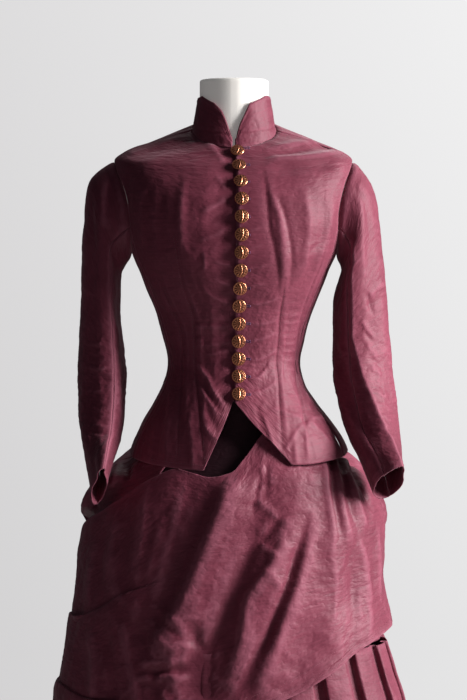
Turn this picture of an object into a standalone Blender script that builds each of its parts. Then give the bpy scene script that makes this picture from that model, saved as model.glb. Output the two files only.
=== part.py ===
"""A two-piece silk bustle dress of the 1880s on a limbless dress form with a pole and a round foot.

The frame is the floor under the middle of the foot: +X is the wearer's left, the dress faces -Y and +Z is up.
Angles go round the figure from 0 at the centre front, through 90 degrees on the wearer's left, to 180 at the
centre back; minus angles are on the wearer's right. Every cloth is an open sheet on a ring form with a wall.
"""

from math import pi, radians

import bmesh
import bpy
import numpy as np

OBJECT_NAME = "bustle_dress_on_form"

BODICE_WALL = 0.0012
SLEEVE_WALL = 0.0010
SKIRT_WALL = 0.0012
SEAM_GAP = 0.0006
UNDER_SHIFT = 0.0032  # how far the buttoned-under front lies inside the one that laps it
LAP_WIDTH = 0.018  # how far the under front runs past the centre line
LAP_EASE = 0.035

WAIST = 1.000
NECK_LEVEL = 1.372
ARMHOLE_LEVEL = 1.247
ARMHOLE_RISE = 0.075
ARMHOLE_HALF_ANGLE = 22.0
SIDE_SEAM_ANGLE = 70.0
SIDE_BACK_SEAM_ANGLE = 100.0
LOWER_ROWS = (0.845, 0.884, 0.923, 0.962, 1.000, 1.045, 1.090, 1.130)
ARMHOLE_CORNER = 1.216  # where the side seam runs into the armhole
SHOULDER_ROWS = (1.250, 1.285, 1.310, 1.323, 1.336, 1.350, 1.363, 1.372)

BUTTON_COUNT = 15
BUTTON_RADIUS = 0.011
BUTTON_TOP = 1.341
BUTTON_BOTTOM = 0.951
BUTTON_GAP = 0.0013

PLEAT_COUNT = 26
PLEAT_DEPTH = 0.012
KILT_TOP = 0.552
HEM_CLEARANCE = 0.012

FORM_INSET = 0.0065
FORM_BOTTOM = 0.800
POLE_RADIUS = 0.0125
FOOT_RADIUS = 0.165
FOOT_HEIGHT = 0.045

# The bodice's rings: level of the sides, how far the front drops and the back rises, and the half sizes
BODICE_RINGS = (
    ("level", "tilt", "left", "right", "front", "back", "square"),
    (0.820, 0.000, 0.176, 0.190, 0.138, 0.300, 2.10),
    (0.860, 0.000, 0.166, 0.183, 0.130, 0.272, 2.10),
    (0.900, 0.000, 0.149, 0.160, 0.119, 0.215, 2.10),
    (0.935, 0.000, 0.129, 0.133, 0.106, 0.152, 2.10),
    (0.965, 0.000, 0.114, 0.114, 0.095, 0.108, 2.10),
    (1.000, 0.000, 0.106, 0.106, 0.088, 0.090, 2.10),
    (1.035, 0.000, 0.113, 0.113, 0.091, 0.092, 2.12),
    (1.078, 0.000, 0.125, 0.125, 0.100, 0.098, 2.20),
    (1.117, 0.000, 0.141, 0.141, 0.112, 0.104, 2.35),
    (1.146, 0.000, 0.152, 0.152, 0.120, 0.108, 2.45),
    (1.175, 0.000, 0.164, 0.165, 0.125, 0.111, 2.55),
    (1.210, 0.000, 0.173, 0.173, 0.125, 0.113, 2.60),
    (1.250, 0.000, 0.180, 0.179, 0.118, 0.113, 2.60),
    (1.285, 0.003, 0.187, 0.185, 0.105, 0.109, 2.50),
    (1.310, 0.008, 0.192, 0.190, 0.091, 0.101, 2.35),
    (1.324, 0.012, 0.191, 0.189, 0.083, 0.096, 2.25),
    (1.336, 0.016, 0.177, 0.176, 0.075, 0.087, 2.15),
    (1.350, 0.021, 0.138, 0.138, 0.067, 0.075, 2.08),
    (1.363, 0.026, 0.098, 0.099, 0.061, 0.061, 2.02),
    (1.372, 0.030, 0.067, 0.067, 0.056, 0.051, 2.00),
)

# The skirt's rings, for the foundation that all the drapery is lifted from
SKIRT_RINGS = (
    ("level", "tilt", "left", "right", "front", "back", "square"),
    (0.010, 0.0, 0.318, 0.315, 0.250, 0.420, 2.15),
    (0.150, 0.0, 0.298, 0.300, 0.229, 0.400, 2.15),
    (0.300, 0.0, 0.277, 0.284, 0.206, 0.382, 2.15),
    (0.460, 0.0, 0.253, 0.264, 0.181, 0.360, 2.15),
    (0.500, 0.0, 0.248, 0.252, 0.174, 0.355, 2.15),
    (0.550, 0.0, 0.240, 0.238, 0.166, 0.349, 2.15),
    (0.580, 0.0, 0.236, 0.230, 0.162, 0.345, 2.15),
    (0.660, 0.0, 0.228, 0.215, 0.151, 0.335, 2.15),
    (0.740, 0.0, 0.218, 0.216, 0.139, 0.322, 2.15),
    (0.780, 0.0, 0.205, 0.208, 0.131, 0.308, 2.15),
    (0.820, 0.0, 0.182, 0.180, 0.119, 0.270, 2.15),
    (0.850, 0.0, 0.152, 0.148, 0.107, 0.222, 2.15),
    (0.880, 0.0, 0.130, 0.128, 0.098, 0.172, 2.12),
    (0.910, 0.0, 0.117, 0.116, 0.092, 0.135, 2.10),
    (0.940, 0.0, 0.108, 0.108, 0.087, 0.110, 2.10),
    (0.970, 0.0, 0.101, 0.101, 0.083, 0.093, 2.10),
    (0.990, 0.0, 0.096, 0.096, 0.079, 0.082, 2.10),
)

# Where the bodice's lower edge runs, round the whole figure
BODICE_HEM = (
    ("angle", "level"),
    (-180, 0.868), (-168, 0.872), (-156, 0.898), (-135, 0.904), (-116, 0.892), (-102, 0.868), (-90, 0.858),
    (-78, 0.851), (-54, 0.842), (-32, 0.836), (-15, 0.833), (-1, 0.938), (0, 0.941), (13, 0.896), (28, 0.841),
    (38, 0.841), (52, 0.845), (70, 0.850), (90, 0.860), (102, 0.870), (116, 0.892), (135, 0.904), (156, 0.898),
    (168, 0.872), (180, 0.868),
)
# The form's rings below the bust; above that it follows the bodice
FORM_RINGS = (
    ("level", "tilt", "left", "right", "front", "back", "square"),
    (0.800, 0.0, 0.124, 0.124, 0.086, 0.098, 2.1),
    (0.840, 0.0, 0.126, 0.126, 0.088, 0.100, 2.1),
    (0.880, 0.0, 0.117, 0.117, 0.085, 0.099, 2.1),
    (0.920, 0.0, 0.104, 0.104, 0.080, 0.093, 2.1),
    (0.960, 0.0, 0.094, 0.094, 0.075, 0.085, 2.1),
    (0.985, 0.0, 0.088, 0.088, 0.071, 0.076, 2.1),
    (1.005, 0.0, 0.090, 0.090, 0.073, 0.077, 2.1),
    (1.040, 0.0, 0.103, 0.103, 0.082, 0.084, 2.1),
)
FORM_NECK = (
    ("level", "width", "depth", "tilt"),
    (1.3640, 0.0605, 0.0480, 0.028), (1.3800, 0.0575, 0.0470, 0.024), (1.4050, 0.0556, 0.0470, 0.012),
    (1.4280, 0.0552, 0.0480, 0.000), (1.4490, 0.0552, 0.0480, 0.000), (1.4530, 0.0515, 0.0444, 0.000),
)
# The seam from the side back up into the armhole
BACK_SEAM = (
    ("level", "angle"),
    (0.820, 146.0), (1.000, 143.0), (1.080, 139.0), (1.150, 129.0), (1.200, 119.0), (1.232, 113.5),
)
COLLAR_TOP = (
    ("angle", "height"),
    (-180, 0.030), (-120, 0.036), (-84, 0.053), (-62, 0.0665), (-50, 0.0665), (-33, 0.065), (-19.5, 0.0555),
    (-12.5, 0.042), (-8, 0.028), (-3, 0.014), (0, 0.0105), (4, 0.0135), (6, 0.0265), (9.5, 0.037), (17.5, 0.0525),
    (25, 0.0665), (40, 0.0675), (62, 0.0675), (84, 0.055), (120, 0.036), (180, 0.030),
)

# Sleeves: at each station from the armhole to the cuff, the outer and the inner edge, and the depth round them
SLEEVE_RIGHT_HAND = (  # on the wearer's right, at minus X
    ("station", "outer_x", "outer_z", "inner_x", "inner_z", "middle_y", "half_depth"),
    (0.00, 0.200, 1.326, 0.168, 1.172, 0.000, 0.056),
    (0.07, 0.2245, 1.304, 0.176, 1.155, 0.000, 0.058),
    (0.15, 0.2375, 1.272, 0.1815, 1.138, 0.001, 0.059),
    (0.28, 0.2430, 1.190, 0.1825, 1.090, 0.002, 0.058),
    (0.42, 0.2470, 1.090, 0.1780, 1.030, 0.003, 0.056),
    (0.56, 0.2510, 1.000, 0.1720, 0.980, -0.002, 0.055),
    (0.70, 0.2500, 0.935, 0.1735, 0.925, -0.020, 0.051),
    (0.82, 0.2440, 0.885, 0.1790, 0.880, -0.046, 0.045),
    (0.92, 0.2330, 0.838, 0.1890, 0.850, -0.086, 0.037),
    (1.00, 0.2235, 0.790, 0.1980, 0.822, -0.120, 0.032),
)
SLEEVE_LEFT_HAND = (  # on the wearer's left, at plus X
    ("station", "outer_x", "outer_z", "inner_x", "inner_z", "middle_y", "half_depth"),
    (0.00, 0.198, 1.324, 0.168, 1.172, 0.000, 0.056),
    (0.07, 0.211, 1.304, 0.174, 1.150, 0.000, 0.058),
    (0.15, 0.2270, 1.265, 0.1690, 1.135, 0.001, 0.058),
    (0.28, 0.2390, 1.180, 0.1590, 1.090, 0.002, 0.056),
    (0.42, 0.2470, 1.090, 0.1590, 1.035, 0.003, 0.054),
    (0.56, 0.2540, 1.000, 0.1595, 0.985, -0.002, 0.053),
    (0.70, 0.2610, 0.935, 0.1680, 0.930, -0.020, 0.050),
    (0.82, 0.2660, 0.885, 0.1830, 0.880, -0.046, 0.045),
    (0.92, 0.2685, 0.848, 0.1995, 0.845, -0.080, 0.039),
    (1.00, 0.2690, 0.822, 0.2190, 0.800, -0.108, 0.036),
)
UPPER_SLEEVE_ANGLES = (-82.0, 116.0)
SLEEVE_SEAM_TURN = 1.9  # degrees left free on each side of a sleeve seam
HEAD_GAP = 0.0024
CUFF_LEAN = 0.024  # the cuff is cut square to the bent forearm, so its front edge is the higher one

# The front drapery: its top and its hem round the figure, and the lines where its two tucks are turned over
APRON_TOP = (
    ("angle", "level"),
    (-98, 0.700), (-85, 0.736), (-63, 0.769), (-54, 0.787), (-40, 0.818), (-28, 0.835), (-18, 0.829), (-10, 0.823),
    (-1, 0.830), (3, 0.846), (9, 0.866), (15, 0.884), (20, 0.893), (40, 0.895), (98, 0.895),
)
APRON_HEM = (
    ("angle", "level"),
    (-98, 0.405), (-60, 0.400), (-30, 0.405), (-10, 0.425), (0, 0.442), (8, 0.461), (20, 0.479), (36, 0.515),
    (51, 0.546), (88, 0.579), (98, 0.584),
)
TUCK_LINE = (("angle", "level"), (-98, 0.588), (-80, 0.597), (-55, 0.620), (-34, 0.650), (-20, 0.664), (98, 0.700))
BAND_LINE = (("angle", "level"), (-98, 0.493), (-70, 0.484), (-45, 0.477), (-16, 0.461), (0, 0.440), (98, 0.400))

PARTS = None


def column(table, name):
    """One named column of a table whose first row names its columns."""
    place = table[0].index(name)
    return np.array([row[place] for row in table[1:]], float)


def along(table, name, at):
    """The named column as straight runs over the table's first column."""
    return np.interp(at, column(table, table[0][0]), column(table, name))


def smooth(table, name, at):
    """The named column as a curve that rises and falls only where the rows do (a monotone cubic)."""
    x = column(table, table[0][0])
    y = column(table, name)
    step = np.diff(x)
    rise = np.diff(y) / step
    slope = np.zeros_like(x)
    slope[0] = rise[0]
    slope[-1] = rise[-1]
    same_way = rise[:-1] * rise[1:] > 0
    first = 2 * step[1:] + step[:-1]
    second = step[1:] + 2 * step[:-1]
    safe = np.where(same_way, rise[:-1] * rise[1:], 1.0)
    mean = (first + second) * safe / (first * rise[1:] + second * rise[:-1] + np.where(same_way, 0.0, 1.0))
    slope[1:-1] = np.where(same_way, mean, 0.0)
    at = np.clip(np.asarray(at, float), x[0], x[-1])
    i = np.clip(np.searchsorted(x, at) - 1, 0, len(x) - 2)
    t = (at - x[i]) / step[i]
    return (
        (2 * t**3 - 3 * t**2 + 1) * y[i]
        + (t**3 - 2 * t**2 + t) * step[i] * slope[i]
        + (3 * t**2 - 2 * t**3) * y[i + 1]
        + (t**3 - t**2) * step[i] * slope[i + 1]
    )


def step_up(value, low, high):
    """A soft step: 0 below low, 1 above high."""
    t = np.clip((value - low) / (high - low), 0.0, 1.0)
    return t * t * (3 - 2 * t)


def ring(rings, level, angle, lift=0.0):
    """Points on a ring form at the levels and angles (degrees), moved out by the lift. Each ring is a rounded
    oblong with its own half width on each side and half depth to the front and the back."""
    level, angle, lift = np.broadcast_arrays(np.asarray(level, float), np.asarray(angle, float), lift)
    s = np.sin(np.radians(angle))
    c = np.cos(np.radians(angle))
    power = 2 / smooth(rings, "square", level)
    half = np.where(s >= 0, smooth(rings, "right", level), smooth(rings, "left", level))
    deep = np.where(c >= 0, smooth(rings, "front", level), smooth(rings, "back", level))
    x = (half + lift) * np.sign(s) * np.abs(s) ** power
    y = -(deep + lift) * np.sign(c) * np.abs(c) ** power
    z = level - smooth(rings, "tilt", level) * c
    return np.stack([x, y, z], axis=-1)


def even_angles(rings, level, count):
    """Angles of equal steps along a ring's own length, all the way round."""
    fine = np.linspace(0, 360, 1441)
    points = ring(rings, level, fine)
    run = np.concatenate([[0.0], np.cumsum(np.linalg.norm(np.diff(points, axis=0), axis=1))])
    return np.interp(np.arange(count) / count, run / run[-1], fine)


def make_material(name, colour, roughness, metallic=0.0):
    material = bpy.data.materials.new(name)
    material.use_nodes = True
    shader = material.node_tree.nodes["Principled BSDF"]
    shader.inputs["Base Color"].default_value = (*colour, 1.0)
    shader.inputs["Roughness"].default_value = roughness
    shader.inputs["Metallic"].default_value = metallic
    material.diffuse_color = (*colour, 1.0)
    return material


def add_object(name, mesh, colour, roughness, metallic=0.0):
    obj = bpy.data.objects.new(name, mesh)
    PARTS.objects.link(obj)
    mesh.materials.append(make_material(name, colour, roughness, metallic))
    mesh.shade_smooth()
    mesh.set_sharp_from_angle(angle=radians(40))
    return obj


def grid_mesh(name, points, closed=False):
    """A sheet of four-sided faces through a grid of points: rows go up it, columns go round anticlockwise."""
    rows, columns = points.shape[:2]
    number = np.arange(rows * columns).reshape(rows, columns)
    if closed:
        number = np.concatenate([number, number[:, :1]], axis=1)
    corners = (number[:-1, :-1], number[:-1, 1:], number[1:, 1:], number[1:, :-1])
    faces = np.stack(corners, axis=-1).reshape(-1, 4)
    mesh = bpy.data.meshes.new(name)
    mesh.from_pydata(points.reshape(-1, 3).tolist(), [], faces.tolist())
    return mesh


def cloth(name, points, wall, shade=1.0, closed=False):
    """A sheet with a wall that goes inward from the points."""
    colour = tuple(shade * part for part in (0.155, 0.022, 0.052))
    obj = add_object(name, grid_mesh(name, points, closed), colour, 0.38)
    solid = obj.modifiers.new("wall", "SOLIDIFY")
    solid.thickness = wall
    solid.offset = -1.0
    return obj


def front_edge(level):
    """The angle where a front panel ends at the side: its side seam, then the armhole, then the shoulder seam."""
    reach = np.clip(1 - ((level - ARMHOLE_LEVEL) / ARMHOLE_RISE) ** 2, 0, None)
    armhole = 90 - ARMHOLE_HALF_ANGLE * np.sqrt(reach)
    return np.where(level < ARMHOLE_CORNER + 0.0001, SIDE_SEAM_ANGLE, armhole)


def back_edge(level):
    """The angle where a back panel begins: the curved back seam, then the armhole, then the shoulder seam."""
    reach = np.clip(1 - ((level - ARMHOLE_LEVEL) / ARMHOLE_RISE) ** 2, 0, None)
    armhole = 90 + ARMHOLE_HALF_ANGLE * np.sqrt(reach)
    seam_top = column(BACK_SEAM, "level")[-1]
    return np.where(level < seam_top + 0.0001, smooth(BACK_SEAM, "angle", level), armhole)


def armhole_floor(angle):
    """The level of the armhole's lower half at the angle."""
    return ARMHOLE_LEVEL - ARMHOLE_RISE * np.sqrt(np.clip(1 - ((angle - 90) / ARMHOLE_HALF_ANGLE) ** 2, 0, None))


def panel(side, edges, top, upper, columns, lift=None, hem_limit=180.0):
    """A bodice panel's grid. edges are the two functions that give its angles at a level, top gives its highest
    level at a share of the way across, and upper lists the shares of the rows from the bust up to there. The
    rows below the waist follow the hem, so that the basque's points come out sharp."""
    across = np.linspace(0, 1, columns)[None, :]
    lower = np.array(LOWER_ROWS)[:, None] + 0 * across
    rough = np.concatenate([lower, LOWER_ROWS[-1] + (top(across) - LOWER_ROWS[-1]) * np.array(upper)[:, None]])
    angle = side * (edges[0](rough) + (edges[1](rough) - edges[0](rough)) * across)
    hem = along(BODICE_HEM, "level", np.minimum(angle, hem_limit))
    level = np.where(rough < WAIST, WAIST - (WAIST - rough) / (WAIST - LOWER_ROWS[0]) * (WAIST - hem), rough)
    angle = side * (edges[0](level) + (edges[1](level) - edges[0](level)) * across)
    radius = 0.5 * smooth(BODICE_RINGS, "front", level) + 0.5 * smooth(BODICE_RINGS, "right", level)
    angle = angle + side * np.degrees(SEAM_GAP / 2 / radius) * (1 - 2 * across)
    points = ring(BODICE_RINGS, level, angle, 0.0 if lift is None else lift(level, angle))
    return points if side > 0 else points[:, ::-1]


def shares_of(levels):
    """Shares of the way from the bust to the neck."""
    return (np.array(levels) - LOWER_ROWS[-1]) / (NECK_LEVEL - LOWER_ROWS[-1])


def at_neck(across):
    return NECK_LEVEL + 0 * across


def fixed(angle):
    return lambda level: angle + 0 * level


def build_fronts():
    """The wearer's left front laps the right one; both have the basque's points."""
    upper = shares_of((1.173, ARMHOLE_CORNER) + SHOULDER_ROWS)

    def lapped_start(level):
        return -np.degrees(LAP_WIDTH / smooth(BODICE_RINGS, "right", level)) * step_up(level, 0.945, 0.990)

    def lapped_lift(level, angle):
        reach = np.radians(np.maximum(-angle, 0)) * smooth(BODICE_RINGS, "left", level)
        return -UNDER_SHIFT * (1 - step_up(reach, 0.004, LAP_EASE))

    lapping = panel(1, (fixed(0.4), front_edge), at_neck, upper, 8)
    cloth("bodice_front_left", lapping, BODICE_WALL)
    lapped = panel(-1, (lapped_start, front_edge), at_neck, upper, 9, lapped_lift, hem_limit=0.0)
    cloth("bodice_front_right", lapped, BODICE_WALL, 0.92)


def build_sides_and_back():
    """On each side an underarm panel, a side back that curves up into the armhole, and a back."""
    seam_top = column(BACK_SEAM, "level")[-1]
    seam_side = fixed(SIDE_SEAM_ANGLE), fixed(SIDE_BACK_SEAM_ANGLE)

    def side_top(across):
        return armhole_floor(SIDE_SEAM_ANGLE + (SIDE_BACK_SEAM_ANGLE - SIDE_SEAM_ANGLE) * across)

    def side_back_top(across):
        low = armhole_floor(SIDE_BACK_SEAM_ANGLE)
        return low + (seam_top - low) * across

    back_rows = shares_of(((LOWER_ROWS[-1] + seam_top) / 2, seam_top) + SHOULDER_ROWS)
    for side, word in ((1, "left"), (-1, "right")):
        points = panel(side, seam_side, side_top, (0.5, 1.0), 4)
        cloth(f"bodice_side_{word}", points, BODICE_WALL, 0.88)
        points = panel(side, (seam_side[1], back_edge), side_back_top, (0.5, 1.0), 4)
        cloth(f"bodice_side_back_{word}", points, BODICE_WALL, 0.96)
        points = panel(side, (back_edge, fixed(180.0)), at_neck, back_rows, 5)
        cloth(f"bodice_back_{word}", points, BODICE_WALL, 0.84)


def build_collar():
    """A stand collar from the neckline, with its front corners cut away to the sides of the neck."""
    front = np.array([1.5, 5, 9, 14, 20, 27, 38, 50, 63, 78])
    angle = np.concatenate([front, np.linspace(95, 265, 10), 359 - front[::-1]])[None, :]
    share = np.array([0.0, 0.5, 1.0])[:, None]
    height = along(COLLAR_TOP, "height", np.where(angle > 180, angle - 360, angle))
    c = np.cos(np.radians(angle))
    s = np.sin(np.radians(angle))
    inward = 0.0085 * share
    x = (0.0665 - inward) * s
    y = -np.where(c > 0, 0.0555 - 0.4 * inward, 0.0505 + 0.4 * inward) * c
    z = NECK_LEVEL - 0.030 * c + 0.0022 + height * share
    points = np.stack(np.broadcast_arrays(x, y + 0 * share, z), axis=-1)
    cloth("collar", points, BODICE_WALL, 1.05)


def sleeve_points(table, side, angles, stations):
    """The sleeve's grid: rings through its outer and inner edges, which grow out of the armhole's curve."""
    station = np.asarray(stations)[::-1, None]
    turn = np.asarray(angles)[None, :]
    c = np.cos(np.radians(turn))
    s = np.sin(np.radians(turn))
    outer = smooth(table, "outer_x", station), smooth(table, "outer_z", station)
    inner = smooth(table, "inner_x", station), smooth(table, "inner_z", station)
    x = (outer[0] + inner[0]) / 2 + (outer[0] - inner[0]) / 2 * c
    z = (outer[1] + inner[1]) / 2 + (outer[1] - inner[1]) / 2 * c + CUFF_LEAN * s * step_up(station, 0.72, 1.0)
    y = smooth(table, "middle_y", station) - smooth(table, "half_depth", station) * s
    tube = np.stack([x, y, z], axis=-1)
    hole = ring(BODICE_RINGS, ARMHOLE_LEVEL + ARMHOLE_RISE * c, 90 - ARMHOLE_HALF_ANGLE * s, HEAD_GAP)
    hole[..., 0] += HEAD_GAP
    hole[..., 2] += HEAD_GAP * c
    grown = step_up(station, 0.0, 0.11)[..., None]
    points = hole * (1 - grown) + tube * grown
    points[..., 0] *= side
    return points[:, ::-1] if side > 0 else points


def build_sleeves():
    """Coat sleeves: an upper and an under piece each, with the seams down the front and the back of the arm."""
    stations = (0.0, 0.035, 0.08, 0.14, 0.22, 0.34, 0.46, 0.56, 0.66, 0.78, 0.89, 1.0)
    start, end = UPPER_SLEEVE_ANGLES
    gap = SLEEVE_SEAM_TURN
    for side, word, table in ((1, "left", SLEEVE_LEFT_HAND), (-1, "right", SLEEVE_RIGHT_HAND)):
        upper = sleeve_points(table, side, np.linspace(start + gap, end - gap, 11), stations)
        under = sleeve_points(table, side, np.linspace(end + gap, start + 360 - gap, 9), stations)
        cloth(f"upper_sleeve_{word}", upper, SLEEVE_WALL, 1.0)
        cloth(f"under_sleeve_{word}", under, SLEEVE_WALL, 0.86)


def button_profile():
    """Half of a domed button with a rolled rim and a shank plate, from the top of its axis down its outer side."""
    r = BUTTON_RADIUS
    return ((0.0, 0.0052), (0.45 * r, 0.0047), (0.78 * r, 0.0034), (0.90 * r, 0.0036), (r, 0.0026),
            (0.96 * r, 0.0012), (0.55 * r, 0.0), (0.0, 0.0))


def turned(name, profile, steps, colour, roughness, metallic):
    """A solid turned round its own Z from a half profile of (radius, height) pairs."""
    mesh = bpy.data.meshes.new(name)
    edges = [(i, i + 1) for i in range(len(profile) - 1)]
    mesh.from_pydata([(radius, 0, height) for radius, height in profile], edges, [])
    obj = add_object(name, mesh, colour, roughness, metallic)
    screw = obj.modifiers.new("turn", "SCREW")
    screw.steps = steps
    screw.render_steps = steps
    screw.use_merge_vertices = True
    screw.merge_threshold = 0.00005
    return obj


def build_buttons():
    """Buttons down the front, each square to the cloth under it and just clear of it."""
    for i in range(BUTTON_COUNT):
        level = BUTTON_TOP + (BUTTON_BOTTOM - BUTTON_TOP) * i / (BUTTON_COUNT - 1)
        row = min(level + smooth(BODICE_RINGS, "tilt", level), NECK_LEVEL)
        x = 0.0050 + 0.0035 * (BUTTON_TOP - level)
        angle = np.degrees(np.arcsin(x / smooth(BODICE_RINGS, "right", row)))
        spot = ring(BODICE_RINGS, row, angle)
        up = ring(BODICE_RINGS, min(row + 0.011, NECK_LEVEL), angle) - ring(BODICE_RINGS, row - 0.011, angle)
        over = ring(BODICE_RINGS, row, angle + 4) - ring(BODICE_RINGS, row, angle - 4)
        out = np.cross(over, up)
        out = out / np.linalg.norm(out)
        name = f"button_{i + 1:02d}"
        button = turned(name, button_profile(), 12, (0.55, 0.20, 0.09), 0.35, 0.9)
        tilt = np.arctan2(out[2], -out[1])
        yaw = np.arctan2(out[0], -out[1])
        button.rotation_mode = "XYZ"
        button.rotation_euler = (pi / 2 - tilt, 0.0, yaw)
        reach = BUTTON_GAP + 0.0012 * abs(np.sin(tilt))
        button.location = spot + out * reach


def tuck_step(angle, level):
    """How much further out the turned-over tuck and the hem band of the front drapery lie, on the wearer's right."""
    side = 1 - step_up(angle, -46, -14)
    tuck = 0.006 * side * (1 - step_up(level - along(TUCK_LINE, "level", angle), -0.006, 0.004))
    band = 0.006 * (1 - step_up(angle, -20, 4))
    return tuck + band * (1 - step_up(level - along(BAND_LINE, "level", angle), -0.006, 0.004))


def apron_lift(angle, level):
    """The front drapery's height over the foundation: soft folds that sweep down to the wearer's right."""
    swing = angle + 55 * (0.90 - level)
    fold = 0.0055 * np.cos(np.radians(13 * swing)) * step_up(0.90 - level, 0.02, 0.16)
    middle = step_up(angle, -75, -10) * (1 - step_up(angle, 38, 62))
    side = 0.010 * step_up(np.abs(angle), 55, 90) * step_up(0.88 - level, 0.0, 0.08)
    return 0.0165 + fold * middle + side + tuck_step(angle, level)


def build_apron():
    angle = np.linspace(-98, 98, 31)[None, :]
    top = along(APRON_TOP, "level", angle)
    hem = along(APRON_HEM, "level", angle)
    share = np.linspace(0, 1, 14)[:, None]
    level = hem + (top - hem) * share
    cloth("apron_drape", ring(SKIRT_RINGS, level, angle, apron_lift(angle, level)), SKIRT_WALL)


def pouf_lift(angle, level):
    """The back drapery's height: full loops over the bustle, held in under the basque's edge at the top and under
    the front drapery's edge on the wearer's right."""
    front = np.where(angle > 180, 360 - angle, angle)
    near = np.where(angle > 180, angle - 360, angle)
    out_below = np.minimum(along(BODICE_HEM, "level", near) - 0.014, 0.880)
    loops = 0.009 * np.abs(np.sin(pi * (0.90 - level) / 0.10))
    right = step_up(angle, 190, 250) * (1 - step_up(angle, 275, 318))
    full = (0.026 + 0.008 * right) * np.sin(pi * np.clip((0.90 - level) / 0.30, 0, 1)) ** 0.7
    folds = 0.004 * np.cos(np.radians(11 * angle)) * step_up(0.88 - level, 0.02, 0.12)
    free = (0.014 + full + loops + folds) * step_up(out_below - level, 0.0, 0.03) * step_up(front, 30, 80)
    free = free * (1 - 0.5 * step_up(angle, 232, 260))
    covered = 1 - step_up(level - along(APRON_TOP, "level", near), 0.024, 0.055)
    tucked = np.where(angle > 180, covered, 1.0) * (1 - step_up(front, 101, 113))
    return 0.0055 + 0.007 * (1 - step_up(angle, 215, 255)) + free * (1 - tucked)


def build_back_drapery():
    """The pouf that is looped up over the bustle, and the fall that hangs from under it."""
    angle = np.linspace(99, 322, 30)[None, :]
    near = angle - 360
    low_front = along(APRON_TOP, "level", near) - 0.030
    low = np.where(near > -99, low_front, 0.585 - 0.02 * np.cos(np.radians(2 * angle)))
    high = 0.905 - 0.02 * step_up(angle, 262, 322)
    share = np.linspace(0, 1, 10)[:, None]
    level = low + (high - low) * share
    cloth("back_pouf", ring(SKIRT_RINGS, level, angle, pouf_lift(angle, level)), SKIRT_WALL, 0.9)

    angle = np.linspace(106, 250, 23)[None, :]
    level = 0.390 + (0.655 - 0.390) * np.linspace(0, 1, 6)[:, None]
    wide = 0.026 * step_up(angle, 215, 250)
    fold = 0.006 * np.cos(np.radians(14 * angle))
    out = step_up(0.575 - level, 0.0, 0.06) * step_up(angle, 104, 118)
    cloth("back_fall", ring(SKIRT_RINGS, level, angle, 0.0075 + (0.014 + fold + wide) * out), SKIRT_WALL, 0.82)


def build_foundation():
    """The plain foundation skirt, and the kilt of knife pleats that is set on its lower edge."""
    angle = np.linspace(0, 360, 33)[None, :-1]
    level = np.array([0.556, 0.66, 0.76, 0.82, 0.86, 0.91, 0.985])[:, None]
    cloth("foundation_skirt", ring(SKIRT_RINGS, level, angle + 0 * level), SKIRT_WALL, 0.7, closed=True)

    starts = even_angles(SKIRT_RINGS, 0.30, PLEAT_COUNT)
    pitch = np.diff(np.append(starts, 360.0))
    places = np.array([0.0, 0.42, 0.82, 0.93])
    lifts = np.array([0.30, 0.72, 1.0, 0.0])
    angle = (starts[:, None] + pitch[:, None] * places).reshape(1, -1)
    lift = np.tile(lifts, PLEAT_COUNT)[None, :]
    level = np.array([HEM_CLEARANCE, 0.30, KILT_TOP])[:, None]
    spread = np.array([1.0, 0.75, 0.12])[:, None]
    cloth("kilt_flounce", ring(SKIRT_RINGS, level, angle, PLEAT_DEPTH * spread * lift), SKIRT_WALL, 0.95, closed=True)


def build_form():
    """The limbless dress form: one smooth closed body inside the bodice, with a flat-topped neck."""
    angle = np.linspace(0, 360, 37)[:-1]
    loops = [ring(FORM_RINGS, level, angle) for level in column(FORM_RINGS, "level")]
    for level in (1.08, 1.12, 1.16, 1.20, 1.24, 1.275, 1.300, 1.314, 1.326, 1.338, 1.350, 1.360):
        points = ring(BODICE_RINGS, level, angle, -FORM_INSET)
        points[:, 2] -= FORM_INSET * step_up(level, 1.275, 1.32)
        loops.append(points)
    s = np.sin(np.radians(angle))
    c = np.cos(np.radians(angle))
    for level, width, depth, tilt in FORM_NECK[1:]:
        loops.append(np.stack([width * s, -depth * c, level - tilt * c], axis=-1))
    points = np.array(loops)
    mesh = grid_mesh("dress_form", points, closed=True)
    shape = bmesh.new()
    shape.from_mesh(mesh)
    bmesh.ops.holes_fill(shape, edges=[edge for edge in shape.edges if edge.is_boundary], sides=0)
    bmesh.ops.recalc_face_normals(shape, faces=shape.faces)
    shape.to_mesh(mesh)
    shape.free()
    add_object("dress_form", mesh, (0.78, 0.72, 0.62), 0.7)


def build_stand():
    foot = ((0.0, FOOT_HEIGHT), (0.020, FOOT_HEIGHT), (0.024, FOOT_HEIGHT - 0.004), (0.026, 0.024), (0.060, 0.019),
            (0.130, 0.014), (FOOT_RADIUS - 0.004, 0.009), (FOOT_RADIUS, 0.005), (FOOT_RADIUS, 0.0), (0.0, 0.0))
    turned("stand_foot", foot, 32, (0.025, 0.024, 0.023), 0.5, 0.8)
    low = FOOT_HEIGHT + 0.0003
    high = FORM_BOTTOM - 0.0003
    pole = ((0.0, high), (POLE_RADIUS - 0.001, high), (POLE_RADIUS, high - 0.001), (POLE_RADIUS, low + 0.001),
            (POLE_RADIUS - 0.001, low), (0.0, low))
    turned("stand_pole", pole, 16, (0.30, 0.18, 0.09), 0.4, 0.0)


def main():
    global PARTS
    for obj in list(bpy.data.objects):
        bpy.data.objects.remove(obj, do_unlink=True)
    PARTS = bpy.data.collections.new(OBJECT_NAME)
    bpy.context.scene.collection.children.link(PARTS)
    build_form()
    build_stand()
    build_foundation()
    build_back_drapery()
    build_apron()
    build_sides_and_back()
    build_fronts()
    build_collar()
    build_sleeves()
    build_buttons()


main()
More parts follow.
